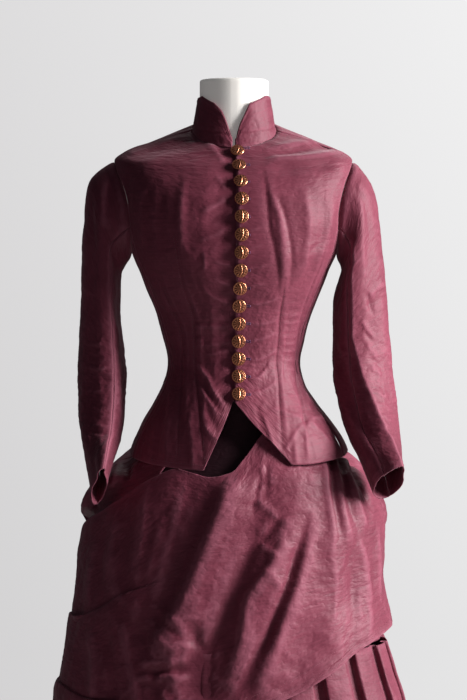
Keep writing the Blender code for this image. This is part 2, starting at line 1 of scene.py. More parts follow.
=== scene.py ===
# A two-piece silk bustle dress of the 1880s on a limbless dress form: the looks, built round the packed
# part. Angles go round the figure from 0 at the centre front, through 90 degrees on the wearer's left (+X),
# to 180 at the back; minus angles are on the wearer's right. Sizes are metres.

from math import pi, radians

import bmesh
import bpy
import numpy as np
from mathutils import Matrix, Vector


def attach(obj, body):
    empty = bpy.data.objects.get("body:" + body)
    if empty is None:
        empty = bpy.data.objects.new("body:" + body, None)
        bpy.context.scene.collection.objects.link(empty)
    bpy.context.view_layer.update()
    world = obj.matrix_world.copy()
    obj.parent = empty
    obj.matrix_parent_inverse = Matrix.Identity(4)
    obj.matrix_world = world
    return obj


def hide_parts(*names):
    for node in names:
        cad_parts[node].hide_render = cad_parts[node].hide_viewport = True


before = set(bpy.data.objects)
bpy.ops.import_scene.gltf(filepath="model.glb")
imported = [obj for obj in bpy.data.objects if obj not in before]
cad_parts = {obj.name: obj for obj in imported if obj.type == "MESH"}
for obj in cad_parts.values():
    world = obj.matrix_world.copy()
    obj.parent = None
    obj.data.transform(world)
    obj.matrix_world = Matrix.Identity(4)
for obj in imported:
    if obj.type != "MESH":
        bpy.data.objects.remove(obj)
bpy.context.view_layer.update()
print("frame loaded:", len(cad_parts), "nodes")

# The forms that the cloth lies on: half widths and depths at each level
bodiceRings = (
    ("level", "tilt", "left", "right", "front", "back", "square"),
    (0.820, 0.000, 0.176, 0.190, 0.138, 0.300, 2.10),
    (0.860, 0.000, 0.166, 0.183, 0.130, 0.272, 2.10),
    (0.900, 0.000, 0.149, 0.160, 0.119, 0.215, 2.10),
    (0.935, 0.000, 0.129, 0.133, 0.106, 0.152, 2.10),
    (0.965, 0.000, 0.114, 0.114, 0.095, 0.108, 2.10),
    (1.000, 0.000, 0.106, 0.106, 0.088, 0.090, 2.10),
    (1.035, 0.000, 0.113, 0.113, 0.091, 0.092, 2.12),
    (1.078, 0.000, 0.125, 0.125, 0.100, 0.098, 2.20),
    (1.117, 0.000, 0.141, 0.141, 0.112, 0.104, 2.35),
    (1.146, 0.000, 0.152, 0.152, 0.120, 0.108, 2.45),
    (1.175, 0.000, 0.164, 0.165, 0.125, 0.111, 2.55),
    (1.210, 0.000, 0.173, 0.173, 0.125, 0.113, 2.60),
    (1.250, 0.000, 0.180, 0.179, 0.118, 0.113, 2.60),
    (1.285, 0.003, 0.187, 0.185, 0.105, 0.109, 2.50),
    (1.310, 0.008, 0.192, 0.190, 0.091, 0.101, 2.35),
    (1.324, 0.012, 0.191, 0.189, 0.083, 0.096, 2.25),
    (1.336, 0.016, 0.177, 0.176, 0.075, 0.087, 2.15),
    (1.350, 0.021, 0.138, 0.138, 0.067, 0.075, 2.08),
    (1.363, 0.026, 0.098, 0.099, 0.061, 0.061, 2.02),
    (1.372, 0.030, 0.067, 0.067, 0.056, 0.051, 2.00),
)
skirtRings = (
    ("level", "tilt", "left", "right", "front", "back", "square"),
    (0.010, 0.0, 0.318, 0.315, 0.250, 0.420, 2.15),
    (0.150, 0.0, 0.298, 0.300, 0.229, 0.400, 2.15),
    (0.300, 0.0, 0.277, 0.284, 0.206, 0.382, 2.15),
    (0.460, 0.0, 0.253, 0.264, 0.181, 0.360, 2.15),
    (0.500, 0.0, 0.248, 0.252, 0.174, 0.355, 2.15),
    (0.550, 0.0, 0.240, 0.238, 0.166, 0.349, 2.15),
    (0.580, 0.0, 0.236, 0.230, 0.162, 0.345, 2.15),
    (0.660, 0.0, 0.228, 0.215, 0.151, 0.335, 2.15),
    (0.740, 0.0, 0.218, 0.216, 0.139, 0.322, 2.15),
    (0.780, 0.0, 0.205, 0.208, 0.131, 0.308, 2.15),
    (0.820, 0.0, 0.182, 0.180, 0.119, 0.270, 2.15),
    (0.850, 0.0, 0.152, 0.148, 0.107, 0.222, 2.15),
    (0.880, 0.0, 0.130, 0.128, 0.098, 0.172, 2.12),
    (0.910, 0.0, 0.117, 0.116, 0.092, 0.135, 2.10),
    (0.940, 0.0, 0.108, 0.108, 0.087, 0.110, 2.10),
    (0.970, 0.0, 0.101, 0.101, 0.083, 0.093, 2.10),
    (0.990, 0.0, 0.096, 0.096, 0.079, 0.082, 2.10),
)
formRings = (
    ("level", "tilt", "left", "right", "front", "back", "square"),
    (0.800, 0.0, 0.124, 0.124, 0.086, 0.098, 2.1),
    (0.840, 0.0, 0.126, 0.126, 0.088, 0.100, 2.1),
    (0.880, 0.0, 0.117, 0.117, 0.085, 0.099, 2.1),
    (0.920, 0.0, 0.104, 0.104, 0.080, 0.093, 2.1),
    (0.960, 0.0, 0.094, 0.094, 0.075, 0.085, 2.1),
    (0.985, 0.0, 0.088, 0.088, 0.071, 0.076, 2.1),
    (1.005, 0.0, 0.090, 0.090, 0.073, 0.077, 2.1),
    (1.040, 0.0, 0.103, 0.103, 0.082, 0.084, 2.1),
)


def column(table, name):
    # one named column of a table whose first row names its columns
    place = table[0].index(name)
    return np.array([row[place] for row in table[1:]], float)


def along(table, name, at):
    # the named column as straight runs over the table's first column
    return np.interp(at, column(table, table[0][0]), column(table, name))


def smooth(table, name, at):
    # the named column as a monotone cubic: it rises and falls only where the rows do
    x = column(table, table[0][0])
    y = column(table, name)
    step = np.diff(x)
    rise = np.diff(y) / step
    sameWay = rise[:-1] * rise[1:] > 0
    first = 2 * step[1:] + step[:-1]
    second = step[1:] + 2 * step[:-1]
    safe = np.where(sameWay, rise[:-1] * rise[1:], 1.0)
    mean = (first + second) * safe / (first * rise[1:] + second * rise[:-1] + np.where(sameWay, 0.0, 1.0))
    slope = np.concatenate([rise[:1], np.where(sameWay, mean, 0.0), rise[-1:]])
    at = np.clip(np.asarray(at, float), x[0], x[-1])
    i = np.clip(np.searchsorted(x, at) - 1, 0, len(x) - 2)
    t = (at - x[i]) / step[i]
    ends = (2 * t**3 - 3 * t**2 + 1) * y[i] + (3 * t**2 - 2 * t**3) * y[i + 1]
    return ends + (t**3 - 2 * t**2 + t) * step[i] * slope[i] + (t**3 - t**2) * step[i] * slope[i + 1]


def stepUp(value, low, high):
    # a soft step: 0 at low, 1 at high, 3t^2 - 2t^3 between
    t = np.clip((value - low) / (high - low), 0.0, 1.0)
    return t * t * (3 - 2 * t)


def hump(value, middle, width):
    # a soft bump of height 1: exp of minus the squared distance in widths
    return np.exp(-(((value - middle) / width) ** 2))


def ring(rings, level, angle, lift=0.0):
    # a rounded oblong at each level: x = half |sin|^p, y = -deep |cos|^p, with p = 2 / squareness, moved
    # out by lift
    level, angle, lift = np.broadcast_arrays(np.asarray(level, float), np.asarray(angle, float), lift)
    s = np.sin(np.radians(angle))
    c = np.cos(np.radians(angle))
    power = 2 / smooth(rings, "square", level)
    half = np.where(s >= 0, smooth(rings, "right", level), smooth(rings, "left", level))
    deep = np.where(c >= 0, smooth(rings, "front", level), smooth(rings, "back", level))
    x = (half + lift) * np.sign(s) * np.abs(s) ** power
    y = -(deep + lift) * np.sign(c) * np.abs(c) ** power
    return np.stack([x, y, level - smooth(rings, "tilt", level) * c], axis=-1)


def evenAngles(rings, level, count):
    # angles of equal steps along a ring's own length
    fine = np.linspace(0, 360, 1441)
    points = ring(rings, level, fine)
    run = np.concatenate([[0.0], np.cumsum(np.linalg.norm(np.diff(points, axis=0), axis=1))])
    return np.interp(np.arange(count) / count, run / run[-1], fine)


# Creases and small unevenness, as heights above the form


def softNoise(across, up, cell, seed):
    # gradient noise: every lattice point leans the cloth its own way and the leans blend softly, about -0.7
    # to 0.7
    turn = np.random.default_rng(seed).uniform(0, 2 * pi, (89, 97))
    a = across / cell
    b = up / cell
    i = np.floor(a).astype(int)
    j = np.floor(b).astype(int)
    a = a - i
    b = b - j

    def lean(p, q):
        way = turn[(i + p) % 89, (j + q) % 97]
        return np.cos(way) * (a - p) + np.sin(way) * (b - q)

    easeA = a**3 * (a * (a * 6 - 15) + 10)
    easeB = b**3 * (b * (b * 6 - 15) + 10)
    low = lean(0, 0) + (lean(1, 0) - lean(0, 0)) * easeA
    high = lean(0, 1) + (lean(1, 1) - lean(0, 1)) * easeA
    return low + (high - low) * easeB


def crinkle(across, up, cell, seed, stretch=1.0):
    # crisp crumples: flat facets that meet in ridges, from the absolute value of warped noise, about -0.5
    # to 0.5
    bendA = across + 0.8 * cell * softNoise(across, up, 1.9 * cell, seed + 1)
    bendB = (up + 0.8 * cell * softNoise(across, up, 2.1 * cell, seed + 2)) / stretch
    first = 0.5 - 1.9 * np.abs(softNoise(bendA, bendB, cell, seed))
    second = 0.5 - 1.9 * np.abs(softNoise(bendA, bendB, 0.53 * cell, seed + 3))
    return 0.68 * first + 0.32 * second


def throughPoints(path, count=9):
    # a smooth line through the path's points: each run is a Catmull-Rom cubic
    path = np.array(path, float)
    if len(path) == 2:
        return path
    ends = np.concatenate([[2 * path[0] - path[1]], path, [2 * path[-1] - path[-2]]])
    t = np.linspace(0, 1, max(3, 2 * count // len(path)) + 1)[:-1, None]
    runs = [
        0.5 * (2 * b + (c - a) * t + (2 * a - 5 * b + 4 * c - d) * t**2 + (3 * b - a - 3 * c + d) * t**3)
        for a, b, c, d in zip(ends, ends[1:], ends[2:], ends[3:])
    ]
    return np.concatenate(runs + [path[-1:]])


def crease(across, up, path, width, depth, lean=0.0, edge=2.0):
    # a ridge (plus depth) or trough along a line: depth * exp(-(distance / width)^edge), fading at the
    # line's ends. lean makes one side steeper, and an edge under 2 makes the crest sharper
    line = throughPoints(path)
    best = np.full(across.shape, 1e9)
    side = np.zeros(across.shape)
    place = np.zeros(across.shape)
    for i in range(len(line) - 1):
        run = line[i + 1] - line[i]
        t = ((across - line[i, 0]) * run[0] + (up - line[i, 1]) * run[1]) / (run @ run)
        t = np.clip(t, 0, 1)
        offA = across - line[i, 0] - t * run[0]
        offB = up - line[i, 1] - t * run[1]
        far = np.hypot(offA, offB)
        near = far < best
        best = np.where(near, far, best)
        side = np.where(near, np.sign(offA * run[1] - offB * run[0]), side)
        place = np.where(near, (i + t) / (len(line) - 1), place)
    fade = stepUp(place, 0.0, 0.30) * (1 - stepUp(place, 0.72, 1.0))
    return depth * fade * np.exp(-((best / (width * (1 + lean * side))) ** edge))


def fromWaist(path):
    # across and up in turn, in whole millimetres from the centre line and the waist: as points in metres
    return np.array(path).reshape(-1, 2) / 1000 + (0.0, 1.0)


def creases(across, up, table):
    # the sum of a table's creases; widths, depths and paths are in millimetres, the paths from the waist
    total = np.zeros(across.shape)
    for width, depth, lean, edge, *path in table[1:]:
        total = total + crease(across, up, fromWaist(path), width / 1000, depth / 1000, lean, edge)
    return total


# Grids of points made into meshes


def unit(vectors):
    return vectors / np.maximum(np.linalg.norm(vectors, axis=-1, keepdims=True), 1e-12)


def normalsOf(points, closed=False):
    # outward normals of a grid whose rows go up and whose columns go round anticlockwise
    if closed:
        wide = np.concatenate([points[:, -1:], points, points[:, :1]], axis=1)
        over = np.gradient(wide, axis=1)[:, 1:-1]
    else:
        over = np.gradient(points, axis=1)
    return unit(np.cross(over, np.gradient(points, axis=0)))


def runs(points, axis):
    # each point's distance along the grid's lines from the first one
    step = np.linalg.norm(np.diff(points, axis=axis), axis=-1)
    shape = list(step.shape)
    shape[axis] = 1
    return np.concatenate([np.zeros(shape), np.cumsum(step, axis=axis)], axis=axis)


def toEdges(points, axis):
    # distance from each point to the nearer end of its grid line
    run = runs(points, axis)
    last = run[-1:] if axis == 0 else run[:, -1:]
    return np.minimum(run, last - run)


def corners(grid, axis):
    # the four corners of every cell of a grid, anticlockwise
    return np.stack([grid[:-1, :-1], grid[:-1, 1:], grid[1:, 1:], grid[1:, :-1]], axis=axis)


def gridMesh(name, points, closed=False):
    # four-sided faces through a grid, with a UV map in metres along the cloth
    rows, columns = points.shape[:2]
    number = np.arange(rows * columns).reshape(rows, columns)
    if closed:
        number = np.concatenate([number, number[:, :1]], axis=1)
    faces = corners(number, -1).reshape(-1, 4)
    mesh = bpy.data.meshes.new(name)
    mesh.from_pydata(points.reshape(-1, 3).tolist(), [], faces.tolist())
    wide = np.concatenate([points, points[:, :1]], axis=1) if closed else points
    u = np.broadcast_to(runs(wide, 1).mean(axis=0)[None, :], wide.shape[:2])
    v = np.broadcast_to(runs(wide, 0).mean(axis=1)[:, None], wide.shape[:2])
    layer = mesh.uv_layers.new(name="cloth")
    layer.data.foreach_set("uv", corners(np.stack([u, v], axis=-1), 2).astype(np.float32).ravel())
    mesh.shade_smooth()
    return mesh


def addObject(name, mesh, material):
    obj = bpy.data.objects.new(name, mesh)
    bpy.context.scene.collection.objects.link(obj)
    mesh.materials.append(material)
    return obj


def addAttribute(mesh, name, values):
    mesh.attributes.new(name, "FLOAT", "POINT").data.foreach_set("value", values.astype(np.float32).ravel())


surfaces = {}
wearAndShadeMarks = {"blur": 6, "crest": 0.0016}


def clothPiece(name, node, points, height, finish, wall=0.0012, closed=False, worn=0.0035):
    # a sheet on its form: each point is moved out along its normal by the height of its creases; its wall
    # goes inward
    out = normalsOf(points, closed)
    shaped = points + out * height[..., None]
    mesh = gridMesh(name, shaped, closed)
    # ridge: 1 on crests, 0 in troughs, from the height over its blurred self; edge: 1 at the cloth's own
    # edges
    broad = height.copy()
    for axis in (0, 1):
        for _ in range(wearAndShadeMarks["blur"]):
            broad = (np.roll(broad, 1, axis) + broad + np.roll(broad, -1, axis)) / 3
    addAttribute(mesh, "ridge", np.clip(0.5 + (height - broad) / wearAndShadeMarks["crest"], 0, 1))
    rim = toEdges(shaped, 0) if closed else np.minimum(toEdges(shaped, 0), toEdges(shaped, 1))
    addAttribute(mesh, "edge", np.exp(-rim / worn))
    obj = addObject(name, mesh, finish)
    solid = obj.modifiers.new("wall", "SOLIDIFY")
    solid.thickness = wall
    solid.offset = -1.0
    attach(obj, "root")
    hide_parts(node)
    surfaces[name] = (shaped, normalsOf(shaped, closed))
    first = shaped[:-1, :-1]
    area = np.linalg.norm(np.cross(shaped[1:, :-1] - first, shaped[:-1, 1:] - first), axis=-1).sum()
    across, up = runs(shaped, 1)[:, -1].max(), runs(shaped, 0)[-1].max()
    print(f"  {name}: {area:.4f} m2, up to {across:.3f} by {up:.3f} m")
    return obj


# Materials


def setSockets(tree, owner, sockets):
    # each socket is either linked to an output or given its value
    for socket, value in sockets.items():
        if isinstance(value, bpy.types.NodeSocket):
            tree.links.new(value, owner[socket])
        else:
            owner[socket].default_value = value


def node(tree, kind, sockets=None, **values):
    made = tree.nodes.new(kind)
    for word, value in values.items():
        setattr(made, word, value)
    setSockets(tree, made.inputs, sockets or {})
    return made


def maths(tree, operation, first, second=0.0, clamp=False):
    sockets = {0: first, 1: second}
    return node(tree, "ShaderNodeMath", sockets, operation=operation, use_clamp=clamp).outputs[0]


def times(tree, first, second, clamp=False):
    return maths(tree, "MULTIPLY", first, second, clamp)


def plus(tree, first, second):
    return maths(tree, "ADD", first, second)


def minus(tree, first, second):
    return maths(tree, "SUBTRACT", first, second)


def newGroup(name, inputs, outputs):
    tree = bpy.data.node_groups.new(name, "ShaderNodeTree")
    for word, kind, value in inputs:
        socket = tree.interface.new_socket(word, in_out="INPUT", socket_type=kind)
        socket.default_value = value
    for word in outputs:
        tree.interface.new_socket(word, in_out="OUTPUT", socket_type="NodeSocketFloat")
    return tree, tree.nodes.new("NodeGroupInput").outputs, tree.nodes.new("NodeGroupOutput").inputs


def stretched(tree, vector, scale):
    return node(tree, "ShaderNodeMapping", {"Vector": vector, "Scale": scale}).outputs["Vector"]


def noise(tree, vector, scale, detail=3.0, roughness=0.55):
    sockets = {"Vector": vector, "Scale": scale, "Detail": detail, "Roughness": roughness}
    return node(tree, "ShaderNodeTexNoise", sockets).outputs["Fac"]


def wave(tree, vector, scale, distortion=0.0, **values):
    sockets = {"Vector": vector, "Scale": scale, "Distortion": distortion}
    return node(tree, "ShaderNodeTexWave", sockets, **values).outputs["Fac"]


def weaveGroup():
    # fine ribs across the cloth, with uneven weft threads: long thin streaks that swell and fade
    inputs = (("Vector", "NodeSocketVector", (0, 0, 0)), ("Rib", "NodeSocketFloat", 0.0009))
    tree, given, out = newGroup("taffeta weave", inputs, ("Height", "Streak", "Fleck"))
    scale = maths(tree, "DIVIDE", 0.3142, given["Rib"])
    bands = {"Vector": given["Vector"], "Scale": scale, "Distortion": 0.6, "Detail": 1.0, "Detail Scale": 0.4}
    ribs = node(tree, "ShaderNodeTexWave", bands, bands_direction="Y").outputs["Fac"]
    thin = noise(tree, stretched(tree, given["Vector"], (34, 1250, 1)), 1.0, 2.0)
    wide = noise(tree, stretched(tree, given["Vector"], (14, 330, 1)), 1.0, 2.0)
    warp = noise(tree, stretched(tree, given["Vector"], (900, 20, 1)), 1.0, 1.0)
    streak = plus(tree, times(tree, thin, 0.6), times(tree, wide, 0.4))
    slub = minus(tree, thin, 0.66)
    slub = times(tree, maths(tree, "MAXIMUM", slub, 0.0), 6.0, True)
    height = plus(tree, times(tree, ribs, 0.35), times(tree, streak, 0.9))
    height = plus(tree, height, times(tree, warp, 0.25))
    setSockets(tree, out, {"Height": height, "Streak": streak, "Fleck": slub})
    return tree


def wearAndShadeGroup():
    # worn: broken patches on crests and along edges; faded: broad uneven dye; soil and shade: small spots of
    # soil, plus painted shade that darkens the troughs of the creases
    inputs = (
        ("Position", "NodeSocketVector", (0, 0, 0)),
        ("Ridge", "NodeSocketFloat", 0.5),
        ("Edge", "NodeSocketFloat", 0.0),
        ("Amount", "NodeSocketFloat", 1.0),
    )
    tree, given, out = newGroup("uneven wear", inputs, ("Worn", "Faded", "SoilAndShade"))
    broken = noise(tree, given["Position"], 95.0, 4.0, 0.6)
    crest = times(tree, minus(tree, given["Ridge"], 0.5), 1.5)
    rubbed = plus(tree, maths(tree, "MAXIMUM", crest, 0.0), times(tree, given["Edge"], 0.85))
    worn = times(tree, rubbed, maths(tree, "MULTIPLY_ADD", broken, 1.6))
    worn = times(tree, worn, given["Amount"], True)
    broad = noise(tree, given["Position"], 5.5, 3.0, 0.5)
    small = noise(tree, given["Position"], 26.0, 3.0, 0.6)
    faded = plus(tree, times(tree, broad, 0.65), times(tree, small, 0.35))
    spots = noise(tree, given["Position"], 60.0, 2.0)
    spots = times(tree, minus(tree, spots, 0.60), 7.0, True)
    # painted shade: the lower the cloth lies in a crease's trough, the darker it is painted
    deep = times(tree, minus(tree, 0.5, given["Ridge"]), 2.0, True)
    half = times(tree, given["Amount"], 0.5)
    soil = times(tree, plus(tree, spots, deep), half, True)
    setSockets(tree, out, {"Worn": worn, "Faded": faded, "SoilAndShade": soil})
    return tree


weave = weaveGroup()
wearAndShade = wearAndShadeGroup()


def colourMix(tree, share, first, second, blend="MIX"):
    # the colour inputs of a Mix node are its sockets 6 and 7, and the colour comes out of socket 2
    ends = [value if isinstance(value, bpy.types.NodeSocket) else (*value, 1.0) for value in (first, second)]
    sockets = {0: share, 6: ends[0], 7: ends[1]}
    return node(tree, "ShaderNodeMix", sockets, data_type="RGBA", blend_type=blend).outputs[2]


def newMaterial(name, roughness=0.5, metallic=0.0):
    material = bpy.data.materials.new(name)
    material.use_nodes = True
    tree = material.node_tree
    shader = tree.nodes["Principled BSDF"].inputs
    setSockets(tree, shader, {"Roughness": roughness, "Metallic": metallic})
    return material, tree, shader, node(tree, "ShaderNodeTexCoord").outputs["Object"]


def bumped(tree, height, distance, strength):
    sockets = {"Height": height, "Distance": distance, "Strength": strength}
    return node(tree, "ShaderNodeBump", sockets).outputs["Normal"]


def spread(tree, value, low, high, lowOut, highOut):
    sockets = {"Value": value, 1: low, 2: high, 3: lowOut, 4: highOut}
    return node(tree, "ShaderNodeMapRange", sockets).outputs["Result"]


taffetaLook = {
    "deep": (0.138, 0.0215, 0.042),
    "plain": (0.200, 0.0360, 0.065),
    "faded": (0.300, 0.0850, 0.130),
    "rib": 0.0011,
    "bump": 0.00016,
    "crumple": 0.0036,
    "roughness": (0.50, 0.68),
    "sheen": 0.26,
    "sheenTint": (1.0, 0.62, 0.72, 1.0),
    "wearAndShade": 0.8,
}


def taffeta(name, look):
    # wine silk: dye that varies, streaks of the weft, paler and duller where it is rubbed, soil spots,
    # painted shade in the crease troughs, and where asked a painted near-black shade above the knee
    material, tree, shader, place = newMaterial(name)
    uv = node(tree, "ShaderNodeUVMap", uv_map="cloth").outputs["UV"]
    ridge = node(tree, "ShaderNodeAttribute", attribute_name="ridge").outputs["Fac"]
    edge = node(tree, "ShaderNodeAttribute", attribute_name="edge").outputs["Fac"]
    cloth = node(tree, "ShaderNodeGroup", {"Vector": uv, "Rib": look["rib"]}, node_tree=weave)
    marks = {"Position": place, "Ridge": ridge, "Edge": edge, "Amount": look["wearAndShade"]}
    use = node(tree, "ShaderNodeGroup", marks, node_tree=wearAndShade)
    uneven = spread(tree, use.outputs["Faded"], 0.36, 0.66, 0.0, 1.0)
    dye = colourMix(tree, uneven, look["deep"], look["plain"])
    streak = spread(tree, cloth.outputs["Streak"], 0.32, 0.70, 0.80, 1.22)
    combined = node(tree, "ShaderNodeCombineColor", {0: streak, 1: streak, 2: streak}).outputs[0]
    dye = colourMix(tree, 1.0, dye, combined, "MULTIPLY")
    dye = colourMix(tree, times(tree, cloth.outputs["Fleck"], 0.35), dye, look["faded"])
    dye = colourMix(tree, times(tree, use.outputs["Worn"], 0.55), dye, look["faded"])
    # soil spots, and painted shade in the crease troughs, pull the colour toward the deep dye
    dye = colourMix(tree, times(tree, use.outputs["SoilAndShade"], 0.45), dye, look["deep"])
    if "paintedShadeAbove" in look:
        # above the knee, where it stays covered, the foundation is painted near-black: painted shade for the
        # deep shadow under the basque and the drapery
        high = node(tree, "ShaderNodeSeparateXYZ", {0: place}).outputs[2]
        dye = colourMix(tree, spread(tree, high, 0.665, 0.675, 0.0, 1.0), dye, look["paintedShadeAbove"])
    dull = plus(tree, cloth.outputs["Streak"], times(tree, use.outputs["Worn"], 0.3))
    # small crisp crumples under the weave: ridged noise
    uneven = noise(tree, stretched(tree, uv, (24, 38, 1)), 1.0, 3.0)
    crumple = maths(tree, "ABSOLUTE", minus(tree, uneven, 0.5))
    threads = {"Height": cloth.outputs["Height"], "Distance": look["bump"], "Strength": 0.7}
    threads["Normal"] = bumped(tree, crumple, look["crumple"], 1.0)
    setSockets(tree, shader, {
        "Base Color": dye,
        "Roughness": spread(tree, dull, 0.3, 0.9, *look["roughness"]),
        "Normal": node(tree, "ShaderNodeBump", threads).outputs["Normal"],
        "Sheen Weight": look["sheen"],
        "Sheen Tint": look["sheenTint"],
        "Sheen Roughness": 0.42,
        "Specular IOR Level": 0.34,
        "Specular Tint": (1.0, 0.80, 0.86, 1.0),
    })
    return material


bodiceSilk = taffeta("bodice taffeta", taffetaLook)
sleeveSilk = taffeta("sleeve taffeta", {**taffetaLook, "wearAndShade": 1.0})
drapeLook = {**taffetaLook, "wearAndShade": 0.9, "crumple": 0.0044, "roughness": (0.46, 0.62)}
drapeSilk = taffeta("drapery taffeta", drapeLook)
skirtSilk = taffeta("skirt taffeta", {**taffetaLook, "deep": (0.128, 0.0195, 0.039), "wearAndShade": 0.9})
# the foundation carries painted shade: it is painted near-black above the knee
foundationSilk = taffeta("foundation taffeta", {**taffetaLook, "sheen": 0.06, "paintedShadeAbove": (0.022, 0.004, 0.009)})


def threadMaterial(name, dark, light):
    # sewing silk: its twist as fine slanting bands, and a little lint
    material, tree, shader, place = newMaterial(name, 0.55)
    turned = node(tree, "ShaderNodeMapping", {"Vector": place, "Rotation": (0.3, 0.5, 0.8)}).outputs["Vector"]
    twist = wave(tree, turned, 900.0, 1.5)
    lint = noise(tree, place, 240.0)
    share = times(tree, plus(tree, twist, lint), 0.5)
    normal = bumped(tree, twist, 0.0002, 0.6)
    colour = colourMix(tree, share, dark, light)
    setSockets(tree, shader, {"Base Color": colour, "Normal": normal, "Sheen Weight": 0.3})
    return material


seamThread = threadMaterial("wine sewing silk", (0.07, 0.008, 0.022), (0.17, 0.03, 0.06))
holeThread = threadMaterial("violet buttonhole silk", (0.065, 0.010, 0.075), (0.20, 0.05, 0.20))


def buttonMaterial():
    # coppery stamped metal: bright on the relief, brown in its hollows, scratched and uneven
    material, tree, shader, place = newMaterial("stamped copper", 0.35, 1.0)
    relief = node(tree, "ShaderNodeAttribute", attribute_name="relief").outputs["Fac"]
    uneven = noise(tree, place, 420.0, 4.0, 0.6)
    raised = plus(tree, relief, times(tree, minus(tree, uneven, 0.5), 0.7))
    share = spread(tree, raised, 0.15, 0.80, 0.0, 1.0)
    setSockets(tree, shader, {
        "Base Color": colourMix(tree, share, (0.105, 0.027, 0.015), (0.74, 0.30, 0.165)),
        "Roughness": spread(tree, raised, 0.1, 0.9, 0.62, 0.27),
        "Metallic": spread(tree, raised, 0.05, 0.5, 0.55, 1.0),
        "Normal": bumped(tree, uneven, 0.00015, 0.5),
    })
    return material


def formMaterial():
    # the form's cover: plain cream jersey with a fine knit, soft folds of tone, a little soil, and a faint
    # painted glow of its own
    material, tree, shader, place = newMaterial("cream form cover", 0.8)
    knit = wave(tree, place, 210.0, 1.2)
    rows = wave(tree, place, 260.0, bands_direction="Z")
    broad = noise(tree, place, 9.0, 4.0)
    soil = times(tree, minus(tree, noise(tree, place, 38.0, 4.0), 0.58), 3.0, True)
    colour = colourMix(tree, spread(tree, broad, 0.35, 0.65, 0, 1), (0.88, 0.85, 0.81), (0.93, 0.91, 0.88))
    colour = colourMix(tree, times(tree, soil, 0.25), colour, (0.60, 0.53, 0.44))
    setSockets(tree, shader, {
        "Base Color": colour,
        "Normal": bumped(tree, plus(tree, knit, rows), 0.0002, 0.5),
        "Sheen Weight": 0.25,
        # painted light: the cover glows faintly, so that it reads brighter than the lamps make it
        "Emission Color": (1.0, 0.96, 0.93, 1.0),
        "Emission Strength": 0.13,
    })
    return material


def woodMaterial():
    # the turned pole: grain that runs along it, varnish and knocks
    material, tree, shader, place = newMaterial("varnished beech", 0.4)
    grain = noise(tree, stretched(tree, place, (190, 190, 7)), 1.0, 5.0, 0.6)
    pores = noise(tree, stretched(tree, place, (900, 900, 28)), 1.0, 2.0)
    colour = colourMix(tree, spread(tree, grain, 0.3, 0.7, 0, 1), (0.19, 0.085, 0.033), (0.42, 0.235, 0.11))
    colour = colourMix(tree, spread(tree, pores, 0.58, 0.7, 0, 0.6), colour, (0.08, 0.03, 0.012))
    setSockets(tree, shader, {
        "Base Color": colour,
        "Roughness": spread(tree, grain, 0.3, 0.7, 0.33, 0.5),
        "Normal": bumped(tree, pores, 0.0003, 0.4),
    })
    return material


def ironMaterial():
    # the cast foot: black enamel with orange peel, chipped to grey where it is knocked
    material, tree, shader, place = newMaterial("black enamelled iron", 0.45)
    peel = noise(tree, place, 260.0, 3.0)
    chips = maths(tree, "GREATER_THAN", noise(tree, place, 70.0, 5.0, 0.7), 0.70)
    setSockets(tree, shader, {
        "Base Color": colourMix(tree, chips, (0.018, 0.017, 0.018), (0.20, 0.19, 0.18)),
        "Metallic": chips,
        "Roughness": spread(tree, peel, 0.3, 0.7, 0.32, 0.55),
        "Normal": bumped(tree, peel, 0.0004, 0.4),
    })
    return material


buttonMetal = buttonMaterial()
formCover = formMaterial()
poleWood = woodMaterial()
footIron = ironMaterial()
print("materials made")


# The bodice, panel by panel, and its collar
bodice = {
    "wall": 0.0012,
    "waist": 1.000,
    "neck": 1.372,
    "low": 0.845,
    "bust": 1.130,
    "armholeLevel": 1.247,
    "armholeRise": 0.075,
    "armholeHalf": 22.0,
    "armholeCorner": 1.216,
    "sideSeam": 70.0,
    "sideBackSeam": 100.0,
    "seamGap": 0.0,
    "underShift": 0.0032,
    "lapWidth": 0.018,
    "lapEase": 0.035,
    "seamDepth": 0.0012,
    "seamWidth": 0.0017,
}
bodiceHem = (
    ("angle", "level"),
    (-180, 0.868), (-168, 0.872), (-156, 0.898), (-135, 0.904), (-116, 0.892), (-102, 0.868),
    (-90, 0.858), (-78, 0.851), (-54, 0.842), (-32, 0.836), (-15, 0.833), (-1, 0.938), (0, 0.941),
    (13, 0.896), (28, 0.841), (38, 0.841), (52, 0.845), (70, 0.850), (90, 0.860), (102, 0.870),
    (116, 0.892), (135, 0.904), (156, 0.898), (168, 0.872), (180, 0.868),
)
backSeam = (
    ("level", "angle"),
    (0.820, 146.0), (1.000, 143.0), (1.080, 139.0), (1.150, 129.0), (1.200, 119.0), (1.232, 113.5),
)
